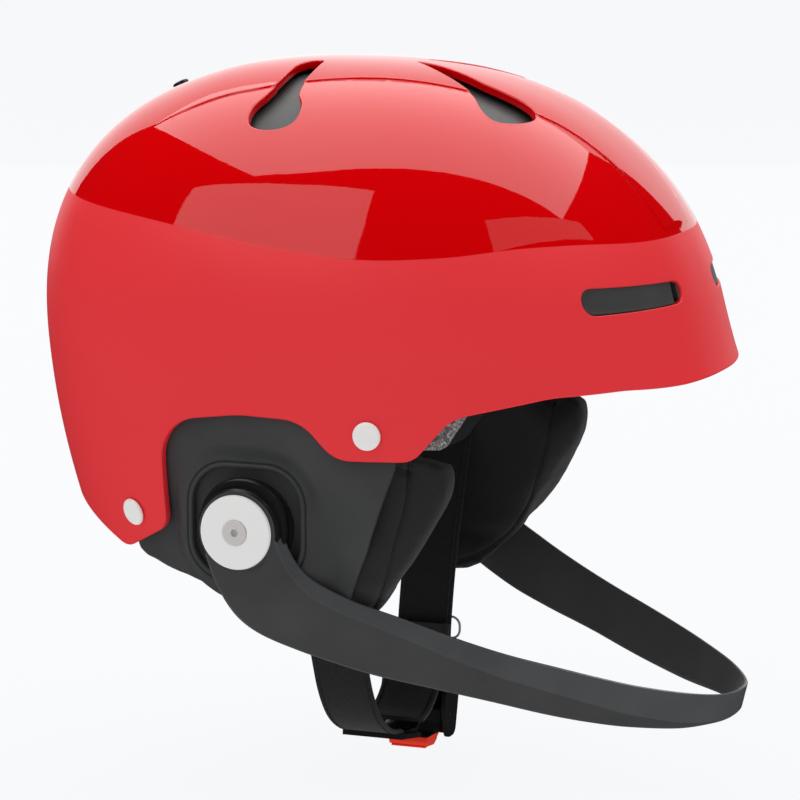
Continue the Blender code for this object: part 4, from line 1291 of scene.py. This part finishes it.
def make_ear_cover(name, side, material):
    """A cover in rings round the pivot: the pocket, its rim, the face, the edge, and the back."""
    centre = np.array((PIVOT_X, PIVOT_Z + POCKET_RISE))
    turns = full_turn(300)
    outer = reaches(rounded(COVER_OUTLINE, 8), centre, turns)

    def ring(radius, y=None):
        x = centre[0] + radius * np.cos(turns)
        z = centre[1] + radius * np.sin(turns)
        return np.stack([x, cover_surface(x, z) if y is None else np.broadcast_to(y, x.shape), z], axis=1)

    bore = np.full(len(turns), COVER_BORE)
    rings = [ring(bore, POCKET_FLOOR)]
    for offset, y in POCKET_RINGS:
        half_x, half_z = (half + offset * MM for half in POCKET_HALF)
        outline = rounded_box(*centre, half_x, half_z, POCKET_CORNER + offset * MM, 12)
        rings.append(ring(reaches(outline, centre, turns), y * MM))
    pocket = np.linalg.norm(rings[-1][:, [0, 2]] - centre, axis=1)
    rim = POCKET_RINGS[-1][1] * MM
    settling = RIM_SETTLES + RIM_SETTLES_LOWER * np.maximum(-np.sin(turns), 0.0)
    edge = outer - 0.9 * MM
    for share in np.linspace(0.0, 1.0, 34)[1:] ** 1.5:
        radius = pocket + (edge - pocket) * share
        flat = ring(radius)
        pull = 1 - smooth_step((radius - pocket) / settling)
        flat[:, 1] += (rim - flat[:, 1]) * pull
        rings.append(flat)
    last = ring(outer)[:, 1]
    for inset, drop in COVER_EDGE:
        rings.append(ring(outer - inset * MM, last - drop * MM))
    for share in BACK_SHARES:
        flat = ring(pocket + (outer - 0.3 * MM - pocket) * share)
        flat[:, 1] = np.minimum(flat[:, 1] - COVER_WALL, POCKET_BACK)
        rings.append(flat)
    rings.append(ring(bore, POCKET_BACK))
    points, faces = sweep(np.array(rings))
    cover = face_out(mesh_object("cover", points * (1, side, 1), faces))
    sharpen(cover, 42.0)
    finish_piece(cover, f"cover_{name}", "helmet", "dark_plastic", material, f"ear_cover_{name}")


def softened(profile, radius=0.35 * MM):
    """A closed profile with its corners rounded."""
    return [tuple(point) for point in rounded([(r, h, radius) for r, h in profile], 3)]


def ring_profile(outer, low, high):
    return softened([(BORE_RADIUS, low), (outer, low), (outer, high), (BORE_RADIUS, high)])


def make_pivots(gloss, rubber, aluminium, steel):
    for name, side in SIDES:
        place, out = (PIVOT_X, 0.0, PIVOT_Z), (0.0, side, 0.0)
        base = turned("base", ring_profile(SEAT_RADIUS, POCKET_FLOOR + GAP, SEAT_TOP))
        ring = turned("ring", ring_profile(RUBBER_RADIUS, RUBBER_FOOT, EYE_INNER - GAP))
        washer = turned("washer", softened([
            (BORE_RADIUS, EYE_OUTER + GAP),
            (0.0139, EYE_OUTER + GAP),
            (0.0141, EYE_OUTER + 0.0009),
            (0.0137, EYE_OUTER + 0.0019),
            (0.0052, EYE_OUTER + 0.0021),
            (BORE_RADIUS, EYE_OUTER + 0.0006),
        ], 0.25 * MM), 160)
        for item, piece, body, slot, material, node_name in (
            (base, "pivot_seat", "helmet", "black_plastic", gloss, "pivot_base"),
            (ring, "pivot_ring", "helmet", "rubber", rubber, "friction_ring"),
            (washer, "washer", "chin_guard_set", "aluminium", aluminium, "pivot_washer"),
            (make_screw(), "screw", "helmet", "steel", steel, "pivot_screw"),
        ):
            aimed(item, place, out)
            sharpen(item, 38.0)
            finish_piece(item, f"{piece}_{name}", body, slot, material, f"{node_name}_{name}")


def make_screw():
    """A countersunk screw with a hexagon socket."""
    head = EYE_OUTER + 0.0024
    screw = turned("screw", [
        (0.0, SCREW_FOOT), (SCREW_RADIUS, SCREW_FOOT), (SCREW_RADIUS, EYE_OUTER + 0.0006),
        (0.0046, head - 0.0004), (0.0047, head - 0.0002), (0.00455, head), (0.0, head),
    ], 64)
    socket = circle(0.0, 0.0, SOCKET_RADIUS, 6)
    return combine(screw, prism(socket, head - SOCKET_DEPTH, head + 0.002, "Z"))


# The chin guard

# From the left eye to the guard's middle: x, y and z of its upper and its lower edge, and the slope's height.
GUARD_STATIONS = (
    (0.0005, 0.1104, -0.0210, -0.0285, 0.1104, -0.0330, 0.0015),
    (0.0050, 0.1104, -0.0340, -0.0220, 0.1107, -0.0490, 0.0020),
    (0.0120, 0.1062, -0.0450, -0.0130, 0.1085, -0.0615, 0.0030),
    (0.0230, 0.0944, -0.0547, 0.0010, 0.0967, -0.0721, 0.0040),
    (0.0400, 0.0846, -0.0625, 0.0250, 0.0832, -0.0826, 0.0045),
    (0.0580, 0.0766, -0.0704, 0.0460, 0.0720, -0.0888, 0.0055),
    (0.0760, 0.0688, -0.0772, 0.0675, 0.0624, -0.0944, 0.0070),
    (0.0940, 0.0600, -0.0828, 0.0865, 0.0533, -0.0998, 0.0080),
    (0.1080, 0.0526, -0.0872, 0.1010, 0.0459, -0.1032, 0.0090),
    (0.1220, 0.0438, -0.0915, 0.1145, 0.0382, -0.1056, 0.0100),
    (0.1380, 0.0300, -0.0957, 0.1310, 0.0277, -0.1072, 0.0100),
    (0.1480, 0.0148, -0.0986, 0.1410, 0.0150, -0.1066, 0.0090),
    (0.1505, 0.0000, -0.0992, 0.1440, 0.0000, -0.1062, 0.0085),
)
GUARD_HALF = 0.0030
GUARD_BORE = 0.0031
GUARD_BORE_INNER = 0.09
GUARD_BORE_OUTER = 0.13
CORNER_STEPS = 4
BEVEL_CORNER = 2

# The guard's material slots. GLOSS is glossier than MATT and also lighter, as a painted highlight.
MATT = 0
GLOSS = 1
DARK = 2

# The shoulder behind each eye, in side view.
SHOULDER_OUTLINE = rounded_box(PIVOT_X + 0.0008, PIVOT_Z + 0.0012, 0.0172, 0.0185, 0.0168, 24)
SHOULDER_TOP = 0.1106


def guard_section(top, bottom, ahead, bevel):
    """One cross-section of the bar: its lower edge, its face, and the slope on its upper outer edge."""
    up = unit(top - bottom)
    out = unit(np.cross(ahead, up))
    height = np.linalg.norm(top - bottom)
    corners = (
        (0.0, -GUARD_HALF, 1.0 * MM),
        (0.0, GUARD_HALF, 1.1 * MM),
        (height - bevel, GUARD_HALF, 0.7 * MM),
        (height, -GUARD_HALF + 1.3 * MM, 0.8 * MM),
        (height, -GUARD_HALF, 0.6 * MM),
    )
    flat = rounded(corners, CORNER_STEPS)
    return bottom + flat[:, :1] * up + flat[:, 1:] * out


def guard_bar():
    right = [(x, -y, z, u, -v, w, bevel) for x, y, z, u, v, w, bevel in GUARD_STATIONS]
    places = smooth_through(right + list(GUARD_STATIONS[-2::-1]), 10)
    middles = places[:, :3] + places[:, 3:6]
    ahead = np.gradient(middles, axis=0)
    rings = [guard_section(p[:3], p[3:6], a, p[6]) for p, a in zip(places, ahead)]
    points, faces = sweep(np.array(rings), False, True)
    bar = mesh_object("bar", points, faces)
    each = CORNER_STEPS + 1
    count = each * 5
    # The upper slope and the lower edge take the GLOSS slot: a glossier finish, and a lighter colour that is
    # a painted highlight.
    shiny = range(BEVEL_CORNER * each + 1, (BEVEL_CORNER + 2) * each)
    edge = range(each, 2 * each - 1)
    for polygon, face in zip(bar.data.polygons, faces):
        profile = face[0] % count
        if len(face) == 4 and (profile in shiny or profile in edge):
            polygon.material_index = GLOSS
    return face_out(bar)


def guard_eye(side, materials):
    """The round eye at one end of the guard: matt on its face, glossy black round its side."""
    eye = turned("eye", [
        (0.0, EYE_INNER), (EYE_RADIUS - 0.5 * MM, EYE_INNER), (EYE_RADIUS, EYE_INNER + 0.5 * MM),
        (EYE_RADIUS, EYE_OUTER - 1.1 * MM), (EYE_RADIUS - 0.3 * MM, EYE_OUTER - 0.5 * MM),
        (EYE_RADIUS - 1.0 * MM, EYE_OUTER), (0.0, EYE_OUTER),
    ], 128)
    add_materials(eye, materials)
    for polygon in eye.data.polygons:
        polygon.material_index = DARK if abs(polygon.normal.z) < 0.9 else MATT
    return aimed(eye, (PIVOT_X, 0.0, PIVOT_Z), (0.0, side, 0.0))


def guard_shoulder(side, materials):
    """The glossy black shoulder that the eye stands on."""
    shoulder = prism(SHOULDER_OUTLINE, EYE_INNER, SHOULDER_TOP, "Y")
    set_coordinates(shoulder, coordinates(shoulder) * (1, side, 1))
    face_out(shoulder)
    add_materials(shoulder, materials)
    for polygon in shoulder.data.polygons:
        polygon.material_index = DARK
    return bevelled(shoulder, 1.3 * MM, 4, 60.0)


def make_chin_guard(*materials):
    bar = guard_bar()
    add_materials(bar, materials)
    for _, side in SIDES:
        combine(bar, guard_shoulder(side, materials), "UNION")
        combine(bar, guard_eye(side, materials), "UNION")
        ends = sorted((side * GUARD_BORE_INNER, side * GUARD_BORE_OUTER))
        combine(bar, prism(circle(PIVOT_X, PIVOT_Z, GUARD_BORE, 40), *ends, "Y"))
    weighted(sharpen(bar, 30.0))
    finish_piece(bar, "guard", "chin_guard_set", "dark_plastic", None, "chin_guard")


# Padded pieces

PAD_SHRINK = 0.0006
PAD_ROLL = 0.75
PAD_ROLL_X = 0.040
PAD_TUCK = 0.40
PAD_TUCK_Z = -0.048
PAD_TUCK_MOST = 0.0035
PAD_MIDDLE_Y = 0.090


def pad_outside(x, z):
    """The ear pad lies against the cover, and rolls in at its front and towards its lower end."""
    rolled = PAD_ROLL * np.maximum(x - PAD_ROLL_X, 0.0)
    rolled = rolled + np.minimum(PAD_TUCK * np.maximum(PAD_TUCK_Z - z, 0.0), PAD_TUCK_MOST)
    return np.minimum(cover_surface(x, z) - COVER_WALL - 2 * GAP, POCKET_BACK - 2 * GAP) - rolled


def puffed(node_name, most, voxel, hold):
    """A cushion from a CAD solid: shrunk, remeshed, blown up as cloth, and held in its place.

    most is how far a point may move, and hold keeps points out of what the pad lies against.
    """
    item = refined(node_name, 0.0)
    if "custom_normal" in item.data.attributes:
        item.data.attributes.remove(item.data.attributes["custom_normal"])
    squeeze = item.modifiers.new("shrink", "DISPLACE")
    squeeze.strength = -PAD_SHRINK
    squeeze.mid_level = 0.0
    remesh = item.modifiers.new("remesh", "REMESH")
    remesh.mode = "VOXEL"
    remesh.voxel_size = voxel
    settle(item)
    start = coordinates(item)
    inflate(item)
    moved = coordinates(item) - start
    length = np.linalg.norm(moved, axis=1, keepdims=True)
    moved *= np.minimum(1.0, most / np.maximum(length, 1e-9))
    set_coordinates(item, hold(start + moved))
    ease = item.modifiers.new("ease", "SMOOTH")
    ease.factor = 0.5
    ease.iterations = 3
    divided(item)
    set_coordinates(item, hold(coordinates(item)))
    item.data.shade_smooth()
    return item


def inflate(item):
    """Blows the item up as weightless cloth, for 20 frames."""
    cloth = item.modifiers.new("cloth", "CLOTH")
    cloth.settings.quality = 5
    cloth.settings.use_pressure = True
    cloth.settings.uniform_pressure_force = 4.0
    cloth.settings.effector_weights.gravity = 0.0
    scene = bpy.context.scene
    for number in range(1, 21):
        scene.frame_set(number)
    settle(item)
    scene.frame_set(1)


def within(points, inset):
    """Holds points inside a layer of the dome."""
    wall = to_dome(points, inset)
    reach = np.linalg.norm(points - DOME_MIDDLE, axis=1)
    limit = np.linalg.norm(wall - DOME_MIDDLE, axis=1)
    return np.where((reach > limit)[:, None], wall, points)


def within_liner(points):
    """Holds points inside the liner, so a pad's back lies flat against it."""
    return within(points, LINER_INNER + GAP)


def beside_cover(side):
    """A function that holds points inside the ear cover on one side."""
    def hold(points):
        limit = pad_outside(points[:, 0], points[:, 2])
        held = points.copy()
        held[:, 1] = side * np.minimum(side * points[:, 1], limit)
        return held
    return hold


def grooved(item, line, depth, width):
    """Presses a sewn line into a soft piece: points near it move in along the piece's normals."""
    points = coordinates(item)
    normals = np.empty(len(points) * 3)
    item.data.vertices.foreach_get("normal", normals)
    normals = normals.reshape(-1, 3)
    fine = evenly(line, width / 3)
    far = np.full(len(points), 1.0)
    for start in range(0, len(fine), 64):
        gaps = np.linalg.norm(points[:, None, :] - fine[None, start:start + 64], axis=2)
        far = np.minimum(far, gaps.min(axis=1))
    press = depth * np.exp(-((far / width) ** 2))
    set_coordinates(item, points - normals * press[:, None])
    return item


def on_surface(item, line, direction):
    """Where lines of sight against a direction meet a piece, with the surface's outward directions."""
    graph = bpy.context.evaluated_depsgraph_get()
    tree = BVHTree.FromObject(item, graph)
    places, normals = [], []
    for point, way in zip(line, np.broadcast_to(direction, line.shape)):
        hit = tree.ray_cast(Vector(point + way * 0.06), Vector(-way))
        if hit[0] is not None:
            places.append(hit[0])
            normals.append(hit[1])
    return np.array(places), np.array(normals)


# Sewn lines of the ear pads in side view, in millimetres.
PAD_SEAMS = (
    ((46.4, -1.0), (45.4, -16.0), (41.6, -32.0), (36.6, -46.0), (28.1, -59.0), (17.0, -67.5), (3.0, -72.5)),
    ((38.0, -0.6), (42.0, -2.2), (45.9, -4.4)),
)
SEAM_DEPTH = 0.0009
SEAM_WIDTH = 0.0011


def seam_places(pad, side):
    """Where each sewn line meets a pad's outside and its inside, with the surface's outward directions."""
    for seam in PAD_SEAMS:
        flat = evenly(smooth_through(seam, 8), 1.0) * MM
        line = np.stack([flat[:, 0], np.full(len(flat), side * PAD_MIDDLE_Y), flat[:, 1]], axis=1)
        for way in (side, -side):
            places, out = on_surface(pad, line, np.array((0.0, way, 0.0)))
            if len(places) > 2:
                yield places, out


def make_ear_pads(cloth, thread):
    for name, side in SIDES:
        pad = divided(puffed(f"ear_pad_{name}", 0.0028, 0.0030, beside_cover(side)))
        for places, _ in seam_places(pad, side):
            grooved(pad, places, SEAM_DEPTH, SEAM_WIDTH)
        sewn = [stitches(places, out) for places, out in seam_places(pad, side)]
        pad.data.shade_smooth()
        finish_piece(pad, f"ear_cushion_{name}", "helmet", "black_fabric", cloth, f"ear_pad_{name}")
        rows = joined("rows", [row for row in sewn if row])
        finish_piece(rows, f"ear_stitches_{name}", "helmet", "black_fabric", thread)


def make_comfort_pads(cloth):
    furthest = {
        "brow_pad": 0.0040, "nape_pad": 0.0040, "crown_pad": 0.0040, "temple_pad_right": 0.0035,
        "temple_pad_left": 0.0035,
    }
    for node_name, most in furthest.items():
        pad = puffed(node_name, most, 0.0035, within_liner)
        finish_piece(pad, node_name.replace("pad", "cushion"), "helmet", "black_fabric", cloth, node_name)


# Straps, buckle and clip

STRAP_HALF_WIDTH = 0.0116
STRAP_THICKNESS = 0.0016
STRAP_ROUTE = (
    (0.0762, 0.0200),
    (0.0756, -0.0080),
    (0.0660, -0.0360),
    (0.0550, -0.0680),
)
STRAP_LOWER_LEFT = ((0.0500, -0.0880), (0.0478, -0.1020))
STRAP_LOWER_RIGHT = (
    (0.0465, -0.0880),
    (0.0395, -0.1035),
    (0.0300, -0.1155),
    (0.0175, -0.1232),
    (0.0060, -0.1262),
)
FLAP_HALF_WIDTH = 0.0125
FLAP_THICKNESS = 0.0018
FLAP_ROUTE = (
    (0.0446, -0.0930),
    (0.0405, -0.1065),
    (0.0315, -0.1180),
    (0.0225, -0.1240),
    (0.0145, -0.1262),
)
LEVER_TAB_Z = -0.1376
LEVER_WIDE_Z = -0.1335
LEVER_TAPER_LENGTH = 0.004
LEVER_TAPER = 0.22
TAB_RIB_HALF = 0.0074
TAB_RIB_Y = 0.0305
TAB_RIB_Z = -0.1417
TAB_RIB_PITCH = 0.0017
WIRE_OUTLINE = ((0.0140, -0.0915), (-0.0122, -0.0915), (-0.0122, -0.1005), (0.0140, -0.1005))
WIRE_CORNER = 0.0036
WIRE_Y = 0.0526
CLIP_DEPTH = -0.0030
CLIP_RIB_RISE = 0.0035
CLIP_RIB_PITCH = 0.0032
CLIP_RIB_INSET = 0.005


def ribbon(route, half_width, thickness, side, edge=0.6 * MM):
    """A flat band along a route in front view, with soft edges, and its own lengths as a UV map."""
    line = evenly(smooth_through(route, 10), 1.2 * MM)
    line[:, 0] *= side
    middle = np.stack([np.zeros(len(line)), line[:, 0], line[:, 1]], axis=1)
    out = np.cross(headings(middle), (1.0, 0.0, 0.0))
    half = thickness / 2
    corners = ((-half_width, -half), (half_width, -half), (half_width, half), (-half_width, half))
    profile = rounded([(x, y, edge) for x, y in corners], 3)
    across = np.linspace(-half_width + edge, half_width - edge, 9)[1:-1]
    lower, upper = profile[:8], profile[8:]
    low_row = np.stack([across, np.full(7, -half)], axis=1)
    high_row = np.stack([across[::-1], np.full(7, half)], axis=1)
    profile = np.vstack([lower[:4], low_row, lower[4:], upper[:4], high_row, upper[4:]])
    rings = [place + np.outer(profile[:, 0], (1.0, 0.0, 0.0)) + np.outer(profile[:, 1], over)
             for place, over in zip(middle, out)]
    points, faces = sweep(np.array(rings), False, True)
    band = mesh_object("band", points, faces)
    lengths = np.concatenate([[0.0], np.cumsum(np.linalg.norm(np.diff(middle, axis=0), axis=1))])
    uv = band.data.uv_layers.new(name="lengths")
    count = len(profile)
    for polygon in band.data.polygons:
        for loop in polygon.loop_indices:
            index = band.data.loops[loop].vertex_index
            uv.data[loop].uv = (profile[index % count, 0], lengths[index // count])
    return face_out(band), middle, out


def strap_stitches(middle, out, half_width, thickness, place):
    """Rows of stitches along both faces of a band, at a share of its half-width on each side."""
    made = []
    for face in (-1, 1):
        for row in (-place, place):
            shift = np.array((row * half_width, 0.0, 0.0))
            line = middle + shift + out * face * thickness / 2
            made.append(stitches(line, out * face, 2.4 * MM, 1.6 * MM, 0.20 * MM))
    return joined("rows", made)


def make_straps(material, thread):
    for name, side in SIDES:
        lower = STRAP_LOWER_LEFT if side > 0 else STRAP_LOWER_RIGHT
        strap, middle, out = ribbon(STRAP_ROUTE + lower, STRAP_HALF_WIDTH, STRAP_THICKNESS, side)
        sharpen(strap, 60.0)
        strap.name = f"chin_strap_{name}"
        strap.data.materials.append(material)
        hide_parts(f"strap_{name}")
        rows = strap_stitches(middle, out, STRAP_HALF_WIDTH, STRAP_THICKNESS, 0.86)
        rows.name = f"strap_stitches_{name}"
        rows.data.materials.append(thread)
        for item in (strap, rows):
            if side > 0:
                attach(item, "helmet")
            else:
                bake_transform(item)


def narrowed(lever):
    """Draws the lever's tab in towards its end."""
    points = coordinates(lever)
    share = smooth_step((LEVER_WIDE_Z - points[:, 2]) / LEVER_TAPER_LENGTH)
    points[:, 0] *= 1 - LEVER_TAPER * share
    set_coordinates(lever, points)


def split_paint(item, height, lower, upper):
    """Divides an item's faces at a height, with one material below it and another above."""
    with edited(item.data) as shape:
        geometry = shape.verts[:] + shape.edges[:] + shape.faces[:]
        plane = {"plane_co": (0.0, 0.0, height), "plane_no": (0.0, 0.0, 1.0)}
        bmesh.ops.bisect_plane(shape, geom=geometry, **plane)
    item.data.materials.clear()
    add_materials(item, (lower, upper))
    for polygon in item.data.polygons:
        polygon.material_index = int(polygon.center.z > height)


def make_buckle(black, orange, steel, cloth, thread):
    body = refined("buckle_body", 0.0007)
    finish_piece(body, "buckle_shell", "helmet", "black_plastic", black, "buckle_body")
    flap, middle, out = ribbon(FLAP_ROUTE, FLAP_HALF_WIDTH, FLAP_THICKNESS, 1, 0.8 * MM)
    sharpen(flap, 60.0)
    finish_piece(flap, "chin_flap", "helmet", "black_fabric", cloth, "buckle_flap")
    rows = strap_stitches(middle, out, FLAP_HALF_WIDTH, FLAP_THICKNESS, 0.84)
    finish_piece(rows, "flap_stitches", "helmet", "black_fabric", thread)
    lever = refined("buckle_lever", 0.0006)
    narrowed(lever)
    split_paint(lever, LEVER_TAB_Z, orange, black)
    pieces = [lever]
    for step in range(5):
        y = TAB_RIB_Y + TAB_RIB_PITCH * step
        ends = [(end, y, TAB_RIB_Z) for end in (-TAB_RIB_HALF, TAB_RIB_HALF)]
        rib = sharpen(tube(ends, 0.45 * MM, 10))
        rib.data.materials.append(orange)
        pieces.append(rib)
    lever = joined("lever", pieces)
    finish_piece(lever, "release_lever", "lever", "orange_plastic", None, "buckle_lever")
    tongue = refined("buckle_tongue", 0.00035, 2)
    finish_piece(tongue, "ratchet_tongue", "tongue", "black_plastic", black, "buckle_tongue")
    flat = evenly(rounded([(x, z, WIRE_CORNER) for x, z in WIRE_OUTLINE], 8), 0.8 * MM, closed=True)
    line = np.stack([flat[:, 0], np.full(len(flat), WIRE_Y), flat[:, 1]], axis=1)
    ring = sharpen(tube(line, 0.5 * MM, 14, closed=True), 80.0)
    finish_piece(ring, "wire_ring", "helmet", "steel", steel, "strap_ring")


def make_clip(rubber, black):
    base = refined("goggle_clip_base", 0.0006)
    finish_piece(base, "clip_base", "helmet", "black_plastic", black, "goggle_clip_base")
    flap = refined("goggle_clip_flap", 0.0006)
    low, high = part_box("goggle_clip_flap")
    pieces = [flap]
    for step in range(4):
        z = low.z + CLIP_RIB_RISE + CLIP_RIB_PITCH * step
        y = np.linspace(low.y + CLIP_RIB_INSET, high.y - CLIP_RIB_INSET, 30)
        starts = np.stack([np.zeros(len(y)), y, np.full(len(y), z)], axis=1)
        line = cast(starts, np.broadcast_to((-1.0, 0.0, 0.0), starts.shape), CLIP_DEPTH)
        pieces.append(sharpen(tube(line, 0.55 * MM, 10)))
    flap = joined("flap", pieces)
    finish_piece(flap, "clip_flap", "goggle_flap", "rubber", rubber, "goggle_clip_flap")


# The knob: a plate flush with the skin, and a round lug on it, in millimetres of radius and height.
KNOB_FLUSH = 0.0002
KNOB_X = -0.0822
KNOB_Z = 0.1235
KNOB_LUG = ((0.0, -2.0), (3.3, -2.0), (3.3, 1.5), (3.1, 2.0), (2.5, 2.3), (1.4, 2.4), (0.0, 2.45))


def make_small_parts(black, steel, dark_steel):
    knob = refined("vent_slider_knob", 0.0004)
    set_coordinates(knob, within(coordinates(knob), -KNOB_FLUSH))
    place = to_dome(np.array([[KNOB_X, 0.0, KNOB_Z]]), 0.0)[0]
    knob = joined("knob", [knob, button("lug", KNOB_LUG, place)])
    finish_piece(knob, "slider_knob", "vent_shutter_set", "black_plastic", black, "vent_slider_knob")
    plain = {
        "pivot_nut_right": 0.0002, "pivot_nut_left": 0.0002, "strap_anchor_right": 0.0003,
        "strap_anchor_left": 0.0003, "lever_pin": 0.0001, "lever_spring": 0.0001,
    }
    for node_name, bevel in plain.items():
        item = refined(node_name, bevel, 2)
        material = dark_steel if node_name == "lever_pin" else steel
        finish_piece(item, f"{node_name}_fine", "helmet", "steel", material, node_name)


# Stage, lights and camera

# Each light's distance and strength, and its corners right of, beyond and above the camera's aim, as shares
# of that distance.
LIGHTS = {
    "overhead_light": (2.0, 2.5, (
        (-0.59, -0.195, 1.0), (0.90, -0.195, 1.0), (0.90, 1.2, 1.0), (-0.85, 1.2, 1.0),
    )),
    "back_light": (2.0, 1.15, (
        (-0.86, 1.2, -0.05), (0.95, 1.2, -0.05), (0.90, 1.2, 1.0), (-0.85, 1.2, 1.0),
    )),
    "left_light": (2.2, 1.6, (
        (-0.81, -0.24, 0.54), (-0.67, -0.11, 0.73), (-0.24, -0.37, 0.90), (-0.33, -0.59, 0.74),
        (-0.41, -0.73, 0.55), (-0.60, -0.62, 0.40),
    )),
    "right_light": (2.2, 0.75, (
        (0.26, -0.50, 0.82), (0.51, -0.31, 0.80), (0.73, -0.05, 0.68), (0.80, -0.06, 0.59),
        (0.30, -0.68, 0.67),
    )),
}
CAMERA_AZIMUTH = math.radians(21.0)
CAMERA_ELEVATION = math.radians(9.5)
CAMERA_DISTANCE = 1.5
CAMERA_LENS = 170.9
CAMERA_SHIFT = (0.0225, 0.01875)
BACKGROUND = (0.938, 0.947, 0.965)
FLOOR_Z = -0.1426
FLOOR_HALF = 12.0
FLOOR_GLOW = 0.962
FILL_STRENGTH = 0.58
GLOSS_FILL_STRENGTH = 0.01


def emitter(name, corners, strength):
    """A flat light that the camera doesn't see."""
    right = np.array((math.cos(CAMERA_AZIMUTH), math.sin(CAMERA_AZIMUTH), 0.0))
    beyond = np.array((-math.sin(CAMERA_AZIMUTH), math.cos(CAMERA_AZIMUTH), 0.0))
    points = [right * c + beyond * f + np.array((0.0, 0.0, z)) for c, f, z in corners]
    item = mesh_object(name, points, [tuple(range(len(points)))], smooth=False)
    material = bpy.data.materials.new(name)
    material.use_nodes = True
    tree = material.node_tree
    tree.nodes.clear()
    glow = node(tree, "ShaderNodeEmission", {"Color": rgb(1.0, 1.0, 1.0), "Strength": strength})
    output = node(tree, "ShaderNodeOutputMaterial")
    tree.links.new(glow.outputs[0], output.inputs["Surface"])
    item.data.materials.append(material)
    item.visible_camera = False


def make_lights():
    for name, (distance, strength, corners) in LIGHTS.items():
        emitter(name, [[share * distance for share in corner] for corner in corners], strength)


def make_world():
    world = bpy.data.worlds.new("studio")
    bpy.context.scene.world = world
    world.use_nodes = True
    tree = world.node_tree
    tree.nodes.clear()
    seen = node(tree, "ShaderNodeBackground", {"Color": rgb(*BACKGROUND), "Strength": 1.0})
    path = node(tree, "ShaderNodeLightPath")
    fill = spread(tree, path.outputs["Is Glossy Ray"], FILL_STRENGTH, GLOSS_FILL_STRENGTH)
    unseen = node(tree, "ShaderNodeBackground", {"Color": rgb(1.0, 1.0, 1.0), "Strength": fill})
    mixed = node(tree, "ShaderNodeMixShader")
    tree.links.new(path.outputs["Is Camera Ray"], mixed.inputs[0])
    tree.links.new(unseen.outputs[0], mixed.inputs[1])
    tree.links.new(seen.outputs[0], mixed.inputs[2])
    output = node(tree, "ShaderNodeOutputWorld")
    tree.links.new(mixed.outputs[0], output.inputs["Surface"])


def make_floor():
    corners = [(x * FLOOR_HALF, y * FLOOR_HALF, FLOOR_Z) for x, y in ((-1, -1), (1, -1), (1, 1), (-1, 1))]
    floor = mesh_object("floor", corners, [(0, 1, 2, 3)], smooth=False)
    material, _, _ = new_material(
        "pale_floor", Base_Color=rgb(0.04, 0.04, 0.04), Roughness=1.0, Specular_IOR_Level=0.0,
        Emission_Color=rgb(*BACKGROUND), Emission_Strength=FLOOR_GLOW,
    )
    floor.data.materials.append(material)
    floor.visible_glossy = False


def make_camera():
    flat = math.cos(CAMERA_ELEVATION)
    height = math.sin(CAMERA_ELEVATION)
    back = Vector((math.sin(CAMERA_AZIMUTH) * flat, -math.cos(CAMERA_AZIMUTH) * flat, height))
    data = bpy.data.cameras.new("camera")
    data.sensor_width = 36.0
    data.lens = CAMERA_LENS
    data.shift_x, data.shift_y = CAMERA_SHIFT
    data.clip_start = 0.05
    data.clip_end = 60.0
    camera = new_object("camera", data)
    camera.location = back * CAMERA_DISTANCE
    camera.rotation_mode = "QUATERNION"
    camera.rotation_quaternion = (-back).to_track_quat("-Z", "Y")
    bpy.context.scene.camera = camera


def make_helmet():
    cover_plastic = moulded("cover_plastic", rgb(0.053, 0.054, 0.055), 0.50, 0.08)
    guard_plastic = moulded("guard_plastic", rgb(0.057, 0.057, 0.058), 0.50, 0.05)
    # Lighter than guard_plastic: a painted highlight on the guard's slope and lower edge, besides a glossier
    # finish.
    guard_gloss_and_painted_highlight = moulded("guard_gloss_and_painted_highlight", rgb(0.086, 0.089, 0.093), 0.20, 0.01, specular=1.0)
    black = moulded("black_plastic", rgb(0.012, 0.012, 0.012), 0.24, 0.03)
    rubber = moulded("ring_rubber", rgb(0.014, 0.014, 0.014), 0.45, 0.10)
    orange = moulded("orange_plastic", rgb(1.0, 0.026, 0.0005), 0.60, 0.06)
    thread = moulded("thread", rgb(0.030, 0.029, 0.028), 0.80, 0.20, 4000.0)
    steel = metal("steel", rgb(0.62, 0.60, 0.57), 0.30, metallic=0.5)
    nickel = metal("rivet_metal", rgb(1.0, 0.97, 0.94), 0.42, metallic=0.08)
    aluminium = metal("turned_aluminium", rgb(1.0, 1.0, 0.98), 0.34, (PIVOT_X, 0.0, PIVOT_Z), 0.1)
    cloth = pad_cloth()
    make_shell()
    make_liner()
    make_shutter()
    make_slot_inserts(cover_plastic)
    make_rivets(nickel)
    for name, side in SIDES:
        make_ear_cover(name, side, cover_plastic)
    make_pivots(black, rubber, aluminium, metal("screw_steel", rgb(0.78, 0.75, 0.73), 0.40, metallic=0.2))
    make_chin_guard(guard_plastic, guard_gloss_and_painted_highlight, black)
    make_straps(webbing(), thread)
    make_buckle(black, orange, steel, cloth, thread)
    make_clip(rubber, black)
    make_small_parts(black, steel, metal("dark_steel", rgb(0.05, 0.05, 0.05), 0.35))
    make_ear_pads(cloth, thread)
    make_comfort_pads(cloth)


make_camera()
make_world()
make_floor()
make_lights()
bpy.context.scene.view_settings.view_transform = "Standard"
make_helmet()
